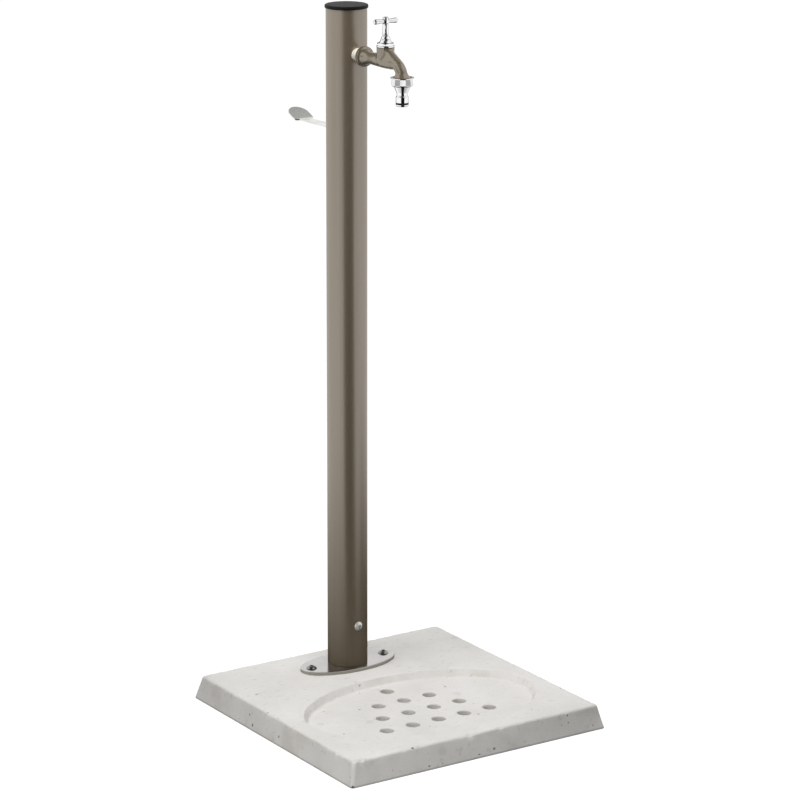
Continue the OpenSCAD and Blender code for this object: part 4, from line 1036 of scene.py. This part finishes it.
def adapter_rings(sides=240):
    """Rings of the adapter about the spout's axis, down its outside and up its bore. Rows give radius,
    height and how far the ring is a twelve-sided polygon."""
    lip = eased([(13.2, -16.2, 0), (16.9, -16.2, 0), (16.9, -17.5, 0), (15.2, -17.9, 0)],
                [0, 0.4, 0.5, 0])
    nut = eased([(14.4, -18.0, 1), (14.62, -19.5, 1), (15.55, -26.0, 1), (15.7, -27.0, 1),
                 (13.8, -28.8, 0), (12, -28.8, 0)], [0, 0.1, 0.1, 0.5, 0.6, 0])
    nipple = eased([(12, -28.8, 0), (7.75, -38.8, 0), (7.75, -42.2, 0), (9.2, -43.75, 0),
                    (9.2, -51.75, 0), (6.85, -51.75, 0), (6.85, -54.35, 0), (9.2, -54.35, 0),
                    (9.2, -56.2, 0), (8.1, -57.35, 0), (5.5, -57.35, 0)],
                   [0, 1.6, 0.8, 0.5, 0.3, 0.2, 0.2, 0.3, 0.5, 0.4, 0])
    bore = np.array([(5.5, -27.35, 0), (13.18, -27.3, 0), (13.18, -16.6, 0)])
    radius, height, share = np.concatenate([lip, nut, nipple, bore]).T[..., None]
    angle = full_turn(sides)
    wedge = 2 * np.pi / NUT_SIDES
    corner = 1 / np.cos((angle - NUT_TURN + wedge / 2) % wedge - wedge / 2)
    return upright_rings(radius * (1 + share * (corner - 1)), height, angle, SPOUT_Y)


adapter = skin("hose_adapter_chromed", [adapter_rings()], joined=True, soft_angle=24)
dress(adapter, chrome, "adapter", "chrome", "hose_adapter")
refinish(rubber, "adapter_washer")
# The O-ring is a torus: the section's circle carried round the path's.
around = full_turn(32)
o_ring_line = np.stack([np.cos(around), np.sin(around)], -1) * O_RING_SECTION_R + [O_RING_R, 0]
o_ring_rings = turned(o_ring_line, (0, SPOUT_Y, O_RING_Z), sides=128)
o_ring = skin("nipple_o_ring_black", [o_ring_rings], joined=True)
dress(o_ring, rubber, "adapter", "seal_rubber", "nipple_o_ring")

# Floor: a plain pale studio floor. To the camera and in reflections it glows up to the white of the room,
# and it takes the object's soft shadow.
FLOOR_HALF = 14
FLOOR_GLOW = 0.92


def card_piece(name, corners, finish):
    """A flat card with four corners, which belongs to the studio."""
    mesh = bpy.data.meshes.new(name)
    mesh.from_pydata([tuple(c) for c in corners], [], [(0, 1, 2, 3)])
    mesh.materials.append(finish)
    card = placed(name, mesh)
    return card


def square_corners(half, z):
    """Corners of a level square about the middle of the floor."""
    return [(-half, -half, z), (half, -half, z), (half, half, z), (-half, half, z)]


def seen_rays(near):
    """The light path, and a value that is one for the camera's rays, in reflections and through glass."""
    path = node(near, "LightPath").outputs
    seen = math_of("MAXIMUM", path["Is Camera Ray"], path["Is Glossy Ray"])
    return path, math_of("MAXIMUM", seen, path["Is Transmission Ray"])


def floor_finish():
    """Matt pale grey with faint clouds, and a glow that only seen rays meet."""
    made, shader, where = blank_finish("studio_floor")
    colour = mixed(grain(where, 3, 2), tone(122, 122, 121), tone(128, 128, 127))
    wire(shader, {"Base Color": colour, "Roughness": 0.9, "Specular IOR Level": 0.0,
                        "Emission Color": (1, 1, 1, 1),
                        "Emission Strength": times(seen_rays(where)[1], FLOOR_GLOW)})
    return made


card_piece("studio_floor", square_corners(FLOOR_HALF, 0), floor_finish())

# Dark cloths: a mat round the foot and a runner from it towards the camera, seen in reflections only.
# They give the column's foot and the chrome the dark that a real room has near the ground.
MAT_HALF = 2.2
MAT_Z = 0.001
MAT_MIDDLE = (0.17, 0.03, 0)
MAT_FADE = (0.3, 1.3)
NO_FADE = (30, 40)
CAMERA_TURN = math.radians(-33.295)
RUNNER_OFF = math.radians(10)
RUNNER_SPREAD = math.radians(30)
RUNNER_NEAR = 0.2
RUNNER_FAR = 16.5
RUNNER_Z = 0.002
to_camera = np.array([math.sin(CAMERA_TURN), -math.cos(CAMERA_TURN), 0])
to_right = np.array([math.cos(CAMERA_TURN), math.sin(CAMERA_TURN), 0])


def dark_cloth(name, fade):
    """Black cloth that takes away light, and thins out with the distance from the mat's middle."""
    made, shader, where = blank_finish(name)
    weave = mixed(grain(where, 60, 2), (0.008, 0.008, 0.007, 1), (0.014, 0.013, 0.012, 1))
    far = node(where, "VectorMath", {0: where, 1: MAT_MIDDLE}, operation="DISTANCE").outputs["Value"]
    wire(shader, {"Base Color": weave, "Roughness": 1, "Specular IOR Level": 0,
                        "Alpha": ranged(far, *fade, 1, 0)})
    return made


runner_edges = [to_camera * math.cos(RUNNER_OFF + turn) + to_right * math.sin(RUNNER_OFF + turn)
                for turn in (-RUNNER_SPREAD, RUNNER_SPREAD)]
runner_corners = [runner_edges[side] * reach + [0, 0, RUNNER_Z] for side, reach in
                  ((0, RUNNER_NEAR), (1, RUNNER_NEAR), (1, RUNNER_FAR), (0, RUNNER_FAR))]
for cloth in (card_piece("dark_mat", square_corners(MAT_HALF, MAT_Z), dark_cloth("dark_mat", MAT_FADE)),
              card_piece("dark_runner", runner_corners, dark_cloth("dark_runner", NO_FADE))):
    cloth.visible_camera = False
    cloth.visible_diffuse = False
    cloth.visible_transmission = False
    cloth.visible_shadow = False

# Shade cards: two upright cards of black cloth off the tray's left and right corners, as the camera sees
# them. Only light on its way to matt surfaces meets them, and they darken the ends of the tray's sides.
SHADE_L = 0.32
SHADE_TOP = 0.32
SHADE_LOW = 0.03
SHADE_GAP = 0.004
near, far = TRAY_HALF + SHADE_GAP, TRAY_HALF + SHADE_GAP + SHADE_L
for name, outer, inner in (("shade_left", (-far, near), (-near, near)),
                           ("shade_right", (near, -far), (near, -near))):
    corners = [(*outer, SHADE_LOW), (*inner, SHADE_LOW), (*inner, SHADE_TOP), (*outer, SHADE_TOP)]
    shade_card = card_piece(name, corners, dark_cloth(name, NO_FADE))
    shade_card.visible_camera = False
    shade_card.visible_glossy = False

# White room: even soft light from all round, white to the camera. In reflections it has a dark curtain
# with a slit of light behind the camera, grey panels at both sides, a seam and a blind high at the back,
# and drapes that only a second reflection meets, such as the column's image in the plate.
ROOM_LIGHT = 0.6
PANELS_DARK = 0.6
DRAPES_DARK = 0.9
CURTAIN_DARK = 0.95
SEAM_DARK = 0.95
BLIND_DARK = 0.55
BACK_EDGE = (-0.5, -0.35)
world = bpy.data.worlds.new("white_studio")
bpy.context.scene.world = world
world.use_nodes = True
background = world.node_tree.nodes["Background"]
path, shown = seen_rays(background)
heading = node(background, "TexCoord").outputs["Generated"]
sky_z = height_part(heading)
ways = [node(heading, "VectorMath", {0: heading, 1: tuple(way)}, operation="DOT_PRODUCT")
        for way in (to_camera, to_right)]
to_front, to_side = [way.outputs["Value"] for way in ways]
bearing = math_of("ARCTAN2", to_side, to_front)
aside = math_of("ABSOLUTE", bearing)


def between(value, low, high, soft):
    """One where a value lies between two others, falling to zero over a soft margin outside them."""
    rise = ranged(value, low - soft, low, 0, 1)
    return times(rise, ranged(value, high, high + soft, 1, 0))


def hanging(height, value, width):
    """One on a part of the room between two heights, and between two values of a sideways measure."""
    return times(between(sky_z, *height), between(value, *width))


panels = times(hanging((0.05, 0.3, 0.05), aside, (0.65, 1.45, 0.15)), PANELS_DARK)
drapes = times(hanging((0.24, 0.46, 0.06), aside, (0.3, 2.7, 0.2)),
               ranged(path["Glossy Depth"], 1, 2, 0, DRAPES_DARK))
slit = hanging((0.085, 0.15, 0.015), bearing, (0.03, 0.22, 0.03))
curtain = times(hanging((-0.3, 0.66, 0.08), bearing, (-0.38, 0.8, 0.08)),
                ranged(slit, 0, 1, CURTAIN_DARK, CURTAIN_DARK - 1))
seam = times(between(to_side, -0.46, 0.28, 0.12), ranged(to_front, *BACK_EDGE, 0, SEAM_DARK))
seam = times(seam, ranged(sky_z, 0.5, 0.6, 0, 1))
blind = times(hanging((0.55, 0.86, 0.06), to_side, (0.0, 0.5, 0.1)),
              ranged(to_front, *BACK_EDGE, BLIND_DARK, 0))
dark = panels
for part in (drapes, blind, curtain, seam):
    dark = math_of("MAXIMUM", dark, part)
level = math_of("SUBTRACT", ranged(shown, 0, 1, ROOM_LIGHT, 1), times(dark, path["Is Glossy Ray"]))
wire(background, {"Color": (1, 1, 1, 1), "Strength": level})

# Key light: one large soft box high above the object, to the left and on the camera's side. It isn't
# seen in reflections.
KEY_PLACE = Vector((-1.2, -0.4, 3.2))
KEY_AIM = Vector((0, 0, 0.2))
KEY_SIZE = 2.2
KEY_POWER = 62
lamp = bpy.data.lights.new("key_softbox", "AREA")
lamp.size = KEY_SIZE
lamp.energy = KEY_POWER
key = placed("key_softbox", lamp)
key.location = KEY_PLACE
key.rotation_mode = "QUATERNION"
key.rotation_quaternion = (KEY_AIM - KEY_PLACE).to_track_quat("-Z", "Y")
key.visible_glossy = False

# Camera: a long lens on a raised tripod, at the photograph's viewing angle, turned by its yaw, tipped
# down by its pitch and rolled about its own axis.
CAMERA_REACH = 4.6179
CAMERA_Z = 1.7222
CAMERA_YAW = math.radians(-33.331)
CAMERA_PITCH = math.radians(15.065)
CAMERA_ROLL = math.radians(0.142)
CAMERA_LENS = 149.15
SENSOR_W = 36
CLIP_END = 60
lens = bpy.data.cameras.new("tripod_camera")
lens.lens = CAMERA_LENS
lens.sensor_width = SENSOR_W
lens.clip_end = CLIP_END
camera = placed("tripod_camera", lens)
tilt = Matrix.Rotation(math.pi / 2 - CAMERA_PITCH, 4, "X") @ Matrix.Rotation(CAMERA_ROLL, 4, "Z")
stand_point = Vector(to_camera * CAMERA_REACH + [0, 0, CAMERA_Z])
camera.matrix_world = Matrix.Translation(stand_point) @ Matrix.Rotation(CAMERA_YAW, 4, "Z") @ tilt
bpy.context.scene.camera = camera
bpy.context.scene.view_settings.view_transform = "Standard"
